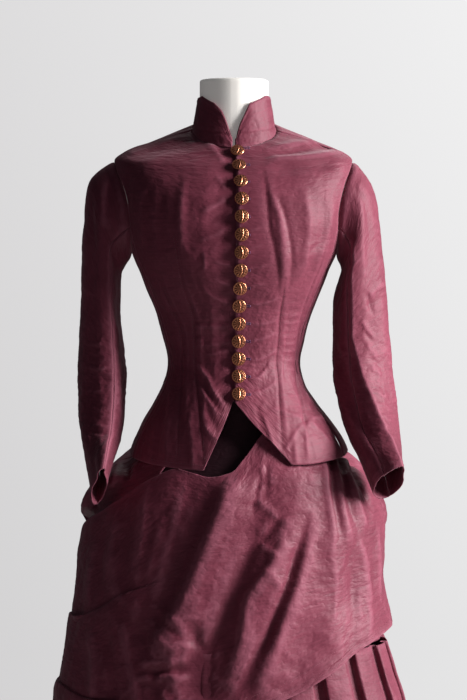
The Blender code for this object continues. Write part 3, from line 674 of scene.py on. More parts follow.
leftFrontCreases = (
    ("width", "depth", "lean", "edge", "path"),
    # shoulder: two long folds with a dark trough between
    (4.5, 3.4, -0.3, 1.6, 54, 341, 78, 344, 106, 349, 131, 355, 154, 357),
    (5.5, -3.8, 0, 1.9, 51, 331, 82, 334, 114, 339, 154, 346, 186, 347),
    (5, 4, 0.2, 1.6, 45, 320, 67, 323, 99, 325, 138, 330, 179, 338),
    (8, -3, 0, 1.9, 54, 306, 93, 309, 134, 312, 178, 315),
    # bust: a long lens between two lines
    (4, -1.9, 0.3, 1.6, 40, 325, 48, 293, 53, 254, 56, 213, 64, 178, 70, 139, 69, 91),
    (7, 2.2, 0, 2, 51, 293, 66, 251, 74, 206, 78, 162, 77, 104),
    (4, -1.8, -0.3, 1.6, 53, 283, 74, 245, 86, 200, 90, 157, 83, 91),
    (8, 2.4, 0.2, 2, 106, 293, 115, 251, 118, 210, 112, 162, 102, 117),
    (7, -1.6, 0, 2, 134, 277, 141, 237, 138, 197, 125, 162),
    (6, 1.8, 0, 1.8, 158, 277, 155, 237, 147, 197, 134, 152, 125, 114),
    # darts and the curved side dart
    (1.9, -1.7, 0, 1.3, 80, 146, 78, 117, 72, 72, 70, 34, 67, 2, 69, -22, 72, -70, 75, -133, 78, -187),
    (3.4, 0.9, 0, 2, 86, 133, 80, 69, 77, 21, 75, -22, 80, -75, 85, -139, 88, -187),
    (2, -1.8, 0, 1.3, 150, 210, 146, 187, 138, 162, 122, 117, 107, 72, 101, 21, 99, -22, 106, -58,
     112, -91, 118, -117, 134, -187),
    (3.6, 1.1, 0, 2, 134, 130, 120, 82, 112, 29, 110, -19, 117, -59, 125, -91, 141, -155),
    # puckers along the boned seam
    (2.4, 0.9, 0, 1.6, 75, 75, 90, 74, 106, 78),
    (2.4, 0.9, 0, 1.6, 75, 64, 90, 62, 104, 67),
    (2.4, 0.8, 0, 1.6, 74, 53, 88, 51, 102, 54),
    (2.4, 0.9, 0, 1.6, 74, 42, 86, 40, 102, 43),
    (2.4, 0.8, 0, 1.6, 74, 30, 86, 29, 101, 32),
    (2.4, 0.9, 0, 1.6, 74, 19, 86, 18, 101, 21),
    (2.6, 0.9, 0, 1.6, 74, 6, 86, 3, 101, 5),
    (2.6, 0.8, 0, 1.6, 74, -8, 86, -11, 101, -10),
    # strain from the lower buttons
    (2.8, 1.2, 0.2, 1.5, 19, 91, 38, 93, 58, 98, 74, 106),
    (2.8, 1.1, -0.2, 1.5, 19, 61, 40, 61, 58, 64, 72, 72),
    (3, 1.3, 0.2, 1.5, 21, 34, 38, 37, 54, 42, 70, 51),
    (3, 1.4, -0.2, 1.5, 21, 5, 38, 5, 54, 11, 69, 22),
    (3.4, 1.8, 0.3, 1.4, 22, -22, 37, -24, 51, -8, 61, 11),
    (2.8, 1.2, 0, 1.5, 19, -48, 38, -46, 58, -37, 69, -22),
    (3, -1, 0, 1.6, 21, -8, 42, -11, 58, -2),
    (2.6, 0.9, 0, 1.5, 18, 120, 35, 122, 54, 126),
    (2.6, 0.8, 0, 1.5, 18, 149, 37, 150, 54, 155),
    (2.6, 0.8, 0, 1.5, 16, 179, 32, 181, 48, 186),
    (2.6, 0.7, 0, 1.5, 14, 206, 29, 208, 43, 213),
    # a pulled gather on the hip, and what radiates from it
    (4, -2, 0, 1.6, 106, -88, 112, -91, 118, -93),
    (3, 1.5, 0, 1.5, 114, -91, 93, -82, 70, -74, 54, -72),
    (3, 1.6, 0, 1.5, 112, -93, 99, -107, 90, -120, 80, -139),
    (3.6, 1.8, 0, 1.5, 114, -91, 128, -99, 142, -114, 157, -136),
    (3.4, 1.6, 0, 1.5, 114, -90, 131, -88, 147, -90, 166, -98),
    (3, 1.2, 0, 1.5, 112, -94, 114, -114, 115, -136, 117, -162),
    (4.5, -1.6, 0, 2, 141, -82, 160, -104, 176, -133),
    (5, 2, 0, 1.8, 106, -34, 122, -53, 141, -66, 160, -72),
    # skirts of the basque
    (6, 2, 0.3, 1.7, 45, -75, 54, -107, 67, -139, 77, -171),
    (5, -1.4, 0, 2, 32, -59, 45, -98, 61, -136),
    (5, 1.6, 0, 1.8, 93, -107, 96, -136, 99, -171),
)
rightFrontCreases = (
    ("width", "depth", "lean", "edge", "path"),
    # shoulder and neck
    (6, 2.2, 0, 1.8, -61, 366, -93, 360, -125, 352, -157, 344, -186, 336),
    (7, -2, 0, 2, -54, 347, -90, 341, -125, 334, -166, 325),
    (4.5, 1.6, 0.2, 1.5, -46, 363, -35, 344, -21, 325, -10, 309),
    (4, -1.4, 0, 1.7, -37, 366, -26, 347, -11, 330),
    (4, 1.2, 0, 1.6, -29, 299, -19, 283, -8, 267),
    # bust
    (5, 2, 0.3, 1.6, -6, 261, -21, 251, -37, 242, -58, 234),
    (6, -1.6, 0, 2, -6, 242, -26, 229, -48, 219),
    (5, 1.5, 0, 1.7, -8, 216, -24, 203, -43, 195, -61, 192),
    (3, 1.2, 0, 1.5, -48, 178, -46, 162, -46, 142),
    (8, 2.2, 0, 2, -77, 296, -83, 251, -83, 203, -77, 162),
    (8, -1.8, 0, 2, -109, 286, -115, 242, -114, 197, -106, 162),
    (8, 2.2, 0, 1.8, -141, 296, -147, 251, -147, 210, -139, 171),
    (6, -1.8, 0, 2, -166, 309, -170, 274, -165, 238),
    # darts
    (1.9, -1.7, 0, 1.3, -93, 203, -90, 182, -80, 120, -66, 82, -62, 42, -61, -3, -58, -46, -54, -83,
     -48, -149, -45, -197),
    (3.6, 1.1, 0, 2, -82, 162, -70, 110, -56, 72, -53, 37, -51, -3, -48, -46, -45, -91, -38, -155),
    (1.9, -1.7, 0, 1.3, -134, 184, -122, 139, -102, 91, -86, 56, -83, 32, -83, -34, -86, -83, -88, -131,
     -90, -187),
    (3.4, 1, 0, 2, -123, 171, -109, 126, -91, 85, -75, 46, -74, -34, -77, -91, -80, -171),
    # tucks across the waist, and strain from the buttons
    (2.6, -1.3, 0, 1.5, -70, 66, -51, 64, -29, 64, 3, 66),
    (3.2, 1, 0, 1.7, -70, 58, -48, 56, -26, 56, 3, 58),
    (2.6, -1.3, 0, 1.5, -69, 43, -48, 43, -26, 43, 3, 45),
    (3, 1, 0, 1.6, -67, 29, -45, 27, -22, 30, 0, 34),
    (3, 1.1, 0, 1.6, -58, 11, -38, 13, -19, 18, 0, 21),
    (3, 1.2, 0, 1.5, 0, 91, -19, 98, -38, 107, -54, 123),
    (2.8, 1, 0, 1.5, 0, 122, -18, 126, -35, 136),
    (2.8, 1, 0, 1.5, 0, 152, -16, 155, -34, 162),
    # the basque: bright slanting folds
    (3.8, 3, 0.3, 1.4, -66, 11, -54, -8, -42, -21, -32, -43, -19, -62, -3, -82),
    (4, -2.6, 0, 1.7, -61, -21, -48, -37, -37, -56, -24, -75, -6, -91),
    (3.8, 2.9, -0.2, 1.4, -56, -30, -45, -50, -32, -69, -19, -82, -2, -94),
    (4.2, 2.6, 0, 1.5, -50, -91, -40, -106, -29, -118, -16, -130),
    (5, -1.5, 0, 2, -45, -66, -35, -88, -22, -107),
    (6, 1.8, 0, 1.8, -70, -59, -69, -98, -66, -136, -64, -187),
    (6, -1.6, 0, 2, -109, -59, -115, -98, -122, -136, -125, -181),
    (6, 1.9, 0, 1.8, -99, -27, -102, -66, -106, -107, -107, -181),
    (7, 2, 0, 1.8, -131, -53, -141, -85, -150, -117, -160, -152),
)
# On the sides and the back: how far round from the centre back, and the level
backCreases = (
    ("width", "depth", "lean", "edge", "path"),
    (8, 2.4, 0.2, 1.8, 20, 330, 55, 318, 100, 312, 150, 306),
    (9, -2.2, 0, 2, 30, 305, 70, 296, 120, 290, 160, 288),
    (8, 2, 0, 1.8, 60, 285, 85, 240, 105, 190, 112, 150),
    (7, -1.8, 0, 2, 40, 270, 60, 220, 76, 160, 80, 110),
    (7, 1.7, 0.2, 1.7, 15, 260, 30, 200, 40, 140, 40, 80),
    (3.2, 1.1, 0, 1.5, 4, 35, 22, 30, 46, 34),
    (3.2, 1, 0, 1.5, 4, 16, 26, 12, 50, 18),
    (3.4, 1.2, 0, 1.5, 4, -6, 24, -10, 48, -4),
    (3.2, 1, 0, 1.5, 6, -28, 28, -32, 52, -26),
    (5, 1.8, 0, 1.7, 30, -40, 40, -70, 58, -110),
    (6, -1.6, 0, 2, 50, -30, 66, -65, 90, -105),
    (6, 1.8, 0, 1.8, 85, -15, 100, -55, 124, -110),
    (6, 1.6, 0, 1.8, 150, -20, 160, -70, 176, -130),
    (4, 1.4, 0, 1.6, 110, 60, 140, 52, 172, 58),
    (4, -1.2, 0, 1.6, 100, 40, 134, 30, 170, 38),
    (4, 1.2, 0, 1.6, 104, 18, 134, 8, 168, 16),
)


def armholeReach(level):
    # half the armhole's width in degrees: an ellipse over its level, and 0 above it, at the shoulder seam
    reach = np.clip(1 - ((level - bodice["armholeLevel"]) / bodice["armholeRise"]) ** 2, 0, None)
    return bodice["armholeHalf"] * np.sqrt(reach)


def frontEdge(level):
    # the angle where a front panel ends: the side seam, then the armhole's ellipse, then the shoulder seam
    return np.where(level < bodice["armholeCorner"] + 0.0001, bodice["sideSeam"], 90 - armholeReach(level))


def backEdge(level):
    # the angle where a back panel begins: the curved back seam, then the armhole, then the shoulder seam
    seamTop = column(backSeam, "level")[-1]
    return np.where(level < seamTop + 0.0001, smooth(backSeam, "angle", level), 90 + armholeReach(level))


def armholeFloor(angle):
    # the level of the armhole's lower half at an angle
    reach = np.clip(1 - ((angle - 90) / bodice["armholeHalf"]) ** 2, 0, None)
    return bodice["armholeLevel"] - bodice["armholeRise"] * np.sqrt(reach)


def fixed(angle):
    return lambda level: angle + 0 * level


def panel(side, edges, top, size, lift=None, hemLimit=180.0):
    # a bodice panel: v goes from the hem through the bust to the top, u from one edge's angle to the other's;
    # below the waist the levels are squeezed so that they end on the hem
    rows, columns = size
    u = np.linspace(0, 1, columns)[None, :]
    lowerRows = int(rows * (bodice["bust"] - bodice["low"]) / (top(np.zeros(1)).max() - bodice["low"]))
    lower = np.linspace(bodice["low"], bodice["bust"], lowerRows)[:, None] + 0 * u
    share = np.linspace(0, 1, rows - lowerRows + 1)[1:, None]
    rough = np.concatenate([lower, bodice["bust"] + (top(u) - bodice["bust"]) * share])
    angle = side * (edges[0](rough) + (edges[1](rough) - edges[0](rough)) * u)
    hem = along(bodiceHem, "level", np.minimum(angle, hemLimit))
    squeeze = (bodice["waist"] - hem) / (bodice["waist"] - bodice["low"])
    level = np.where(rough < bodice["waist"], bodice["waist"] - (bodice["waist"] - rough) * squeeze, rough)
    angle = side * (edges[0](level) + (edges[1](level) - edges[0](level)) * u)
    radius = 0.5 * smooth(bodiceRings, "front", level) + 0.5 * smooth(bodiceRings, "right", level)
    angle = angle + side * np.degrees(bodice["seamGap"] / 2 / radius) * (1 - 2 * u)
    points = ring(bodiceRings, level, angle, 0.0 if lift is None else lift(level, angle))
    return (points, angle) if side > 0 else (points[:, ::-1], angle[:, ::-1])


def seamRoll(points, start=True, end=True):
    # the pressed seam: the cloth turns in at a panel's side edges, with a slight swell beside it
    run = runs(points, 1)
    total = np.zeros(points.shape[:2])
    for wanted, far in ((start, run), (end, run[:, -1:] - run)):
        if wanted:
            total = total - bodice["seamDepth"] * np.exp(-((far / bodice["seamWidth"]) ** 1.5))
            total = total + 0.0006 * hump(far, 0.005, 0.003)
    return total


def bodyNoise(points, angle, seed):
    # the silk's own unevenness: broad dents and small crisp crumples, stronger at the waist and the basque
    across = np.radians(angle) * 0.15
    up = points[..., 2]
    broad = 0.0016 * softNoise(across, up, 0.045, seed)
    small = 0.00085 * crinkle(across, up, 0.019, seed + 10, 1.6)
    fine = 0.00030 * crinkle(across, up, 0.0075, seed + 20)
    where = 0.55 + 0.45 * hump(up, 0.985, 0.07) + 0.4 * (1 - stepUp(up, 0.86, 0.95))
    return broad + (small + fine) * where


def atNeck(u):
    return bodice["neck"] + 0 * u


def lappedStart(level):
    lap = np.degrees(bodice["lapWidth"] / smooth(bodiceRings, "right", level))
    return -lap * stepUp(level, 0.945, 0.990)


def lappedLift(level, angle):
    reach = np.radians(np.maximum(-angle, 0)) * smooth(bodiceRings, "left", level)
    return -bodice["underShift"] * (1 - stepUp(reach, 0.004, bodice["lapEase"]))


def makeFronts():
    points, angle = panel(1, (fixed(0.4), frontEdge), atNeck, (214, 82))
    height = creases(points[..., 0], points[..., 2], leftFrontCreases) + bodyNoise(points, angle, 3)
    height = height + seamRoll(points, start=False)
    fromEdge = runs(points, 1)
    quiet = stepUp(fromEdge, 0.0, 0.016) * (0.35 + 0.65 * stepUp(fromEdge, 0.006, 0.03))
    height = height * quiet + 0.0004 * hump(fromEdge, 0.0045, 0.002)
    made = clothPiece("frontLeft", "bodice_front_left", points, height, bodiceSilk, bodice["wall"])

    points, angle = panel(-1, (lappedStart, frontEdge), atNeck, (214, 86), lappedLift, hemLimit=0.0)
    height = creases(points[..., 0], points[..., 2], rightFrontCreases) + bodyNoise(points, angle, 7)
    height = height + seamRoll(points, end=False)
    under = runs(points, 1)[:, -1:] - runs(points, 1)
    height = height * stepUp(under, 0.012, 0.034)
    made = clothPiece("frontRight", "bodice_front_right", points, height, bodiceSilk, bodice["wall"])


def makeSidesAndBack():
    seamTop = column(backSeam, "level")[-1]
    sideSeams = fixed(bodice["sideSeam"]), fixed(bodice["sideBackSeam"])

    def sideTop(u):
        return armholeFloor(bodice["sideSeam"] + (bodice["sideBackSeam"] - bodice["sideSeam"]) * u)

    def sideBackTop(u):
        low = armholeFloor(bodice["sideBackSeam"])
        return low + (seamTop - low) * u

    plans = (
        ("side", sideSeams, sideTop, (124, 36), (0.09, 0.36), 0.028),
        ("sideBack", (sideSeams[1], backEdge), sideBackTop, (124, 40), (0.12, 0.39), 0.035),
        ("back", (backEdge, fixed(180.0)), atNeck, (156, 46), (0.20, 0.54), 0.075),
    )
    nodeWord = {"side": "bodice_side", "sideBack": "bodice_side_back", "back": "bodice_back"}
    for side, word in ((1, "Left"), (-1, "Right")):
        for seed, (name, edges, top, size, flat, area) in enumerate(plans):
            points, angle = panel(side, edges, top, size)
            fromBack = np.radians(180 - np.abs(angle)) * (0.09 + 0.35 * np.abs(points[..., 0]))
            height = creases(fromBack, points[..., 2], backCreases)
            height = height + bodyNoise(points, angle, 31 + 5 * seed + side) + seamRoll(points)
            nodeName = f"{nodeWord[name]}_{word.lower()}"
            made = clothPiece(name + word, nodeName, points, height, bodiceSilk, bodice["wall"])


collar = {"low": (0.0665, 0.0555, 0.0505), "inward": 0.0085, "size": (26, 176), "wall": 0.0014}
collarTop = (
    ("angle", "height"),
    (-180, 0.030), (-120, 0.036), (-84, 0.053), (-62, 0.0665), (-50, 0.0665), (-33, 0.065),
    (-19.5, 0.0555), (-12.5, 0.042), (-8, 0.028), (-3, 0.014), (0, 0.0105), (4, 0.0135), (6, 0.0265),
    (9.5, 0.037), (17.5, 0.0525), (25, 0.0665), (40, 0.0675), (62, 0.0675), (84, 0.055), (120, 0.036),
    (180, 0.030),
)


def makeCollar():
    # a stand collar: the neckline's oval, leaning in as it rises, to a top edge that dips to its cut-away
    # corners
    rows, columns = collar["size"]
    angle = np.linspace(1.5, 357.5, columns)[None, :]
    share = np.linspace(0, 1, rows)[:, None]
    near = np.where(angle > 180, angle - 360, angle)
    height = along(collarTop, "height", near)
    c = np.cos(np.radians(angle))
    s = np.sin(np.radians(angle))
    wide, front, back = collar["low"]
    inward = collar["inward"] * share - 0.0011 * (1 - stepUp(share, 0.0, 0.12))
    x = (wide - inward) * s
    y = -np.where(c > 0, front - 0.4 * inward, back + 0.4 * inward) * c
    z = bodice["neck"] - 0.030 * c - 0.0010 + (height + 0.0022) * share
    points = np.stack(np.broadcast_arrays(x, y + 0 * share, z), axis=-1)
    across = np.radians(near) * 0.06
    up = height * share
    puff = 0.0008 * softNoise(across, up, 0.02, 41) + 0.0007 * crinkle(across, up, 0.011, 42, 1.3)
    setOn = np.interp(np.abs(near), [0, 40, 90, 180], [0.022, 0.018, 0.007, 0.0])
    # the groove where it is set on, the swell over it, and the turned top edge
    puff = puff + 0.0005 * hump(share, 0.5, 0.35) - 0.0009 * hump(up, setOn, 0.0016)
    puff = puff + 0.0005 * hump(up, setOn + 0.004, 0.0022)
    puff = puff + 0.0006 * hump(height * (1 - share), 0.0045, 0.0016)
    made = clothPiece("standCollar", "collar", points, puff, bodiceSilk, collar["wall"], worn=0.0025)


makeFronts()
makeSidesAndBack()
makeCollar()
print("bodice made")


# The sleeves
sleeve = {
    "wall": 0.0010,
    "seams": (-82.0, 116.0),
    "seamTurn": 0.12,
    "headGap": -0.0004,
    "cuffLean": 0.024,
    "ridge": 0.0075,
    "seamDepth": 0.0010,
    "seamWidth": 0.0016,
    "upper": (184, 76),
    "under": (184, 46),
}
sleeveRightHand = (
    ("station", "outerX", "outerZ", "innerX", "innerZ", "middleY", "halfDepth"),
    (0.00, 0.200, 1.326, 0.168, 1.172, 0.000, 0.056),
    (0.07, 0.2245, 1.304, 0.176, 1.155, 0.000, 0.058),
    (0.15, 0.2375, 1.272, 0.1815, 1.138, 0.001, 0.059),
    (0.28, 0.2430, 1.190, 0.1825, 1.090, 0.002, 0.058),
    (0.42, 0.2470, 1.090, 0.1780, 1.030, 0.003, 0.056),
    (0.56, 0.2510, 1.000, 0.1720, 0.980, -0.002, 0.055),
    (0.70, 0.2500, 0.935, 0.1735, 0.925, -0.020, 0.051),
    (0.82, 0.2440, 0.885, 0.1790, 0.880, -0.046, 0.045),
    (0.92, 0.2330, 0.838, 0.1890, 0.850, -0.086, 0.037),
    (1.00, 0.2235, 0.790, 0.1980, 0.822, -0.120, 0.032),
)
sleeveLeftHand = (
    ("station", "outerX", "outerZ", "innerX", "innerZ", "middleY", "halfDepth"),
    (0.00, 0.198, 1.324, 0.168, 1.172, 0.000, 0.056),
    (0.07, 0.211, 1.304, 0.174, 1.150, 0.000, 0.058),
    (0.15, 0.2270, 1.265, 0.1690, 1.135, 0.001, 0.058),
    (0.28, 0.2390, 1.180, 0.1590, 1.090, 0.002, 0.056),
    (0.42, 0.2470, 1.090, 0.1590, 1.035, 0.003, 0.054),
    (0.56, 0.2540, 1.000, 0.1595, 0.985, -0.002, 0.053),
    (0.70, 0.2610, 0.935, 0.1680, 0.930, -0.020, 0.050),
    (0.82, 0.2660, 0.885, 0.1830, 0.880, -0.046, 0.045),
    (0.92, 0.2685, 0.848, 0.1995, 0.845, -0.080, 0.039),
    (1.00, 0.2690, 0.822, 0.2190, 0.800, -0.108, 0.036),
)
# where the front of each sleeve folds to an edge: the turn round the arm at each station
leftFold = (
    ("station", "turn"),
    (0.0, 100), (0.20, 104), (0.45, 108), (0.60, 92), (0.72, 78), (0.85, 66), (1.0, 55),
)
rightFold = (("station", "turn"), (0.0, 100), (0.20, 114), (1.0, 114))
leftSleeveCreases = (
    ("width", "depth", "lean", "edge", "path"),
    (6, -2.2, 0, 1.8, 189, 283, 205, 261, 214, 229, 219, 190),
    (8, 2.2, 0.2, 1.8, 195, 299, 202, 261, 202, 213, 205, 162, 211, 117),
    (4, 1.6, 0, 1.5, 214, 101, 230, 117, 246, 133),
    (4.5, -1.8, 0, 1.6, 211, 91, 224, 94, 243, 107),
    (5, -2.2, 0, 1.6, 211, 114, 218, 94, 224, 72),
    (4, 1.8, 0, 1.5, 202, 72, 211, 53, 227, 40),
    (3.6, -1.6, 0, 1.5, 205, 53, 218, 37, 230, 27),
    (3.6, 1.6, 0, 1.5, 208, 30, 221, 18, 234, 11),
    (3.6, -1.6, 0, 1.5, 211, 11, 224, 2, 237, -8),
    (3.4, 1.5, 0, 1.5, 214, -5, 227, -14, 240, -21),
    (3.2, -1.4, 0, 1.5, 221, -27, 230, -37, 243, -40),
    (3.4, 1.5, 0, 1.5, 224, -46, 237, -53, 246, -50),
    (3.2, 1.3, 0, 1.5, 234, -82, 243, -91, 253, -91),
    (3.2, -1.3, 0, 1.5, 237, -104, 246, -114, 256, -110),
    (1.6, -1, 0, 1.4, 243, -67, 253, -67, 266, -66),
    (5, 1.6, 0, 1.8, 160, 53, 170, 21, 182, -8),
    (6, -1.5, 0, 1.8, 160, 5, 176, -27, 192, -53),
    (6, 1.6, 0, 1.8, 173, -62, 189, -98, 205, -130),
    (5, 1.6, 0, 1.6, 186, 203, 189, 178, 195, 152),
    (5, 1.8, 0, 1.8, 221, 299, 230, 267, 237, 229),
)
rightSleeveCreases = (
    ("width", "depth", "lean", "edge", "path"),
    (7, 2, 0, 1.8, -195, 309, -205, 277, -208, 238, -205, 197),
    (6, -1.8, 0, 1.8, -221, 293, -227, 254, -227, 213, -224, 171),
    (7, 1.8, 0, 1.8, -237, 238, -240, 197, -237, 149, -240, 101),
    (5, -1.8, 0, 1.8, -186, 261, -189, 219, -195, 181),
    (3.6, 1.3, 0, 1.5, -240, 27, -224, 29, -202, 26),
    (3.2, -1.2, 0, 1.5, -237, 11, -221, 8, -198, 10),
    (3.2, 1.3, 0, 1.5, -237, -6, -218, -11, -195, -8),
    (3.2, -1.2, 0, 1.5, -230, -21, -214, -27, -195, -26),
    (3.2, 1.2, 0, 1.5, -240, -43, -221, -46, -202, -43),
    (3, -1.4, 0, 1.5, -234, -107, -214, -110, -195, -117),
    (4, 1.5, 0, 1.6, -230, -98, -214, -99, -195, -106),
    (6, 1.6, 0, 1.8, -218, -133, -214, -158, -211, -187),
    (4, 1.4, 0, 1.6, -189, 69, -182, 37, -176, 5),
    (5, -1.4, 0, 1.6, -186, 21, -179, -21, -176, -53),
    (5, 1.4, 0, 1.7, -192, -27, -186, -59, -182, -91),
)


def sleeveGrid(table, side, turns, rows, foldTable):
    # rings through the sleeve's outer and inner edges that grow out of the armhole's curve;
    # fold is how far a point is, round the arm, from the edge that the sleeve folds to in front
    station = np.linspace(0, 1, rows)[::-1, None]
    turn = turns[None, :]
    c = np.cos(np.radians(turn))
    s = np.sin(np.radians(turn))
    outer = smooth(table, "outerX", station), smooth(table, "outerZ", station)
    inner = smooth(table, "innerX", station), smooth(table, "innerZ", station)
    x = (outer[0] + inner[0]) / 2 + (outer[0] - inner[0]) / 2 * c
    z = (outer[1] + inner[1]) / 2 + (outer[1] - inner[1]) / 2 * c
    z = z + sleeve["cuffLean"] * s * stepUp(station, 0.72, 1.0)
    y = smooth(table, "middleY", station) - smooth(table, "halfDepth", station) * s
    tube = np.stack([x, y, z], axis=-1)
    armhole = bodice["armholeLevel"] + bodice["armholeRise"] * c
    hole = ring(bodiceRings, armhole, 90 - bodice["armholeHalf"] * s, sleeve["headGap"])
    hole[..., 0] += sleeve["headGap"]
    hole[..., 2] += sleeve["headGap"] * c
    grown = stepUp(station, 0.0, 0.11)[..., None]
    points = hole * (1 - grown) + tube * grown
    points[..., 0] *= side
    fold = np.broadcast_to(turn - along(foldTable, "turn", station), points.shape[:2])
    return points, fold, np.broadcast_to(station, points.shape[:2])


def makeSleeve(side, word, table, foldTable, marks, seed):
    start, end = sleeve["seams"]
    gap = sleeve["seamTurn"]
    plans = (
        ("sleeveUpper", "upper_sleeve", start + gap, end - gap, sleeve["upper"], (0.23, 0.58), 0.098),
        ("sleeveUnder", "under_sleeve", end + gap, start + 360 - gap, sleeve["under"], (0.16, 0.52), 0.065),
    )
    for name, nodeName, first, last, (rows, columns), flat, area in plans:
        turns = np.linspace(first, last, columns)
        points, fold, station = sleeveGrid(table, side, turns, rows, foldTable)
        if side > 0:
            points, fold, station = points[:, ::-1], fold[:, ::-1], station[:, ::-1]
        size = sleeve["ridge"] * stepUp(station, 0.06, 0.28)
        height = size * (np.exp(-((np.abs(fold) / 15) ** 1.15)) - 0.5 * hump(np.abs(fold), 48, 22))
        height = height + creases(points[..., 0], points[..., 2], marks)
        across = np.radians(fold) * 0.045
        up = points[..., 2]
        elbow = 0.55 + 0.7 * hump(station, 0.62, 0.2)
        height = height + 0.0016 * softNoise(across, up, 0.04, seed)
        small = 0.0012 * crinkle(across, up, 0.02, seed + 4, 0.8)
        height = height + elbow * (small + 0.0005 * crinkle(across, up, 0.008, seed + 8))
        roll = runs(points, 1)
        for far in (roll, roll[:, -1:] - roll):
            height = height - sleeve["seamDepth"] * np.exp(-((far / sleeve["seamWidth"]) ** 1.5))
        # the head dips into the armhole's seam and swells below it; the cuff has a turned hem
        cuff = runs(points, 0)
        head = cuff[-1:] - cuff
        height = height * stepUp(head, 0.0, 0.02) - 0.0022 * np.exp(-((head / 0.003) ** 1.5))
        height = height + 0.0010 * hump(head, 0.010, 0.006)
        height = height + 0.0005 * hump(cuff, 0.011, 0.0014) - 0.0004 * hump(cuff, 0.0135, 0.0012)
        nodeName = f"{nodeName}_{word.lower()}"
        made = clothPiece(name + word, nodeName, points, height, sleeveSilk, sleeve["wall"])


makeSleeve(1, "Left", sleeveLeftHand, leftFold, leftSleeveCreases, 51)
makeSleeve(-1, "Right", sleeveRightHand, rightFold, rightSleeveCreases, 71)
print("sleeves made")


# The front drapery
apron = {"wall": 0.0012, "size": (204, 148), "reach": 98.0, "clear": 0.0165, "step": 0.006, "overlap": 0.014}
apronTop = (
    ("angle", "level"),
    (-98, 0.700), (-85, 0.736), (-63, 0.769), (-54, 0.787), (-40, 0.818), (-28, 0.835), (-18, 0.829),
    (-10, 0.823), (-1, 0.830), (3, 0.846), (9, 0.866), (15, 0.884), (20, 0.893), (40, 0.895), (98, 0.895),
)
apronHem = (
    ("angle", "level"),
    (-98, 0.405), (-60, 0.402), (-30, 0.410), (-10, 0.433), (0, 0.451), (8, 0.470), (20, 0.491), (36, 0.525),
    (51, 0.552), (88, 0.581), (98, 0.584),
)
tuckLine = (
    ("angle", "level"),
    (-98, 0.588), (-80, 0.597), (-55, 0.620), (-34, 0.650), (-20, 0.664), (98, 0.700),
)
bandLine = (
    ("angle", "level"),
    (-98, 0.493), (-70, 0.484), (-45, 0.477), (-16, 0.461), (0, 0.440), (98, 0.400),
)
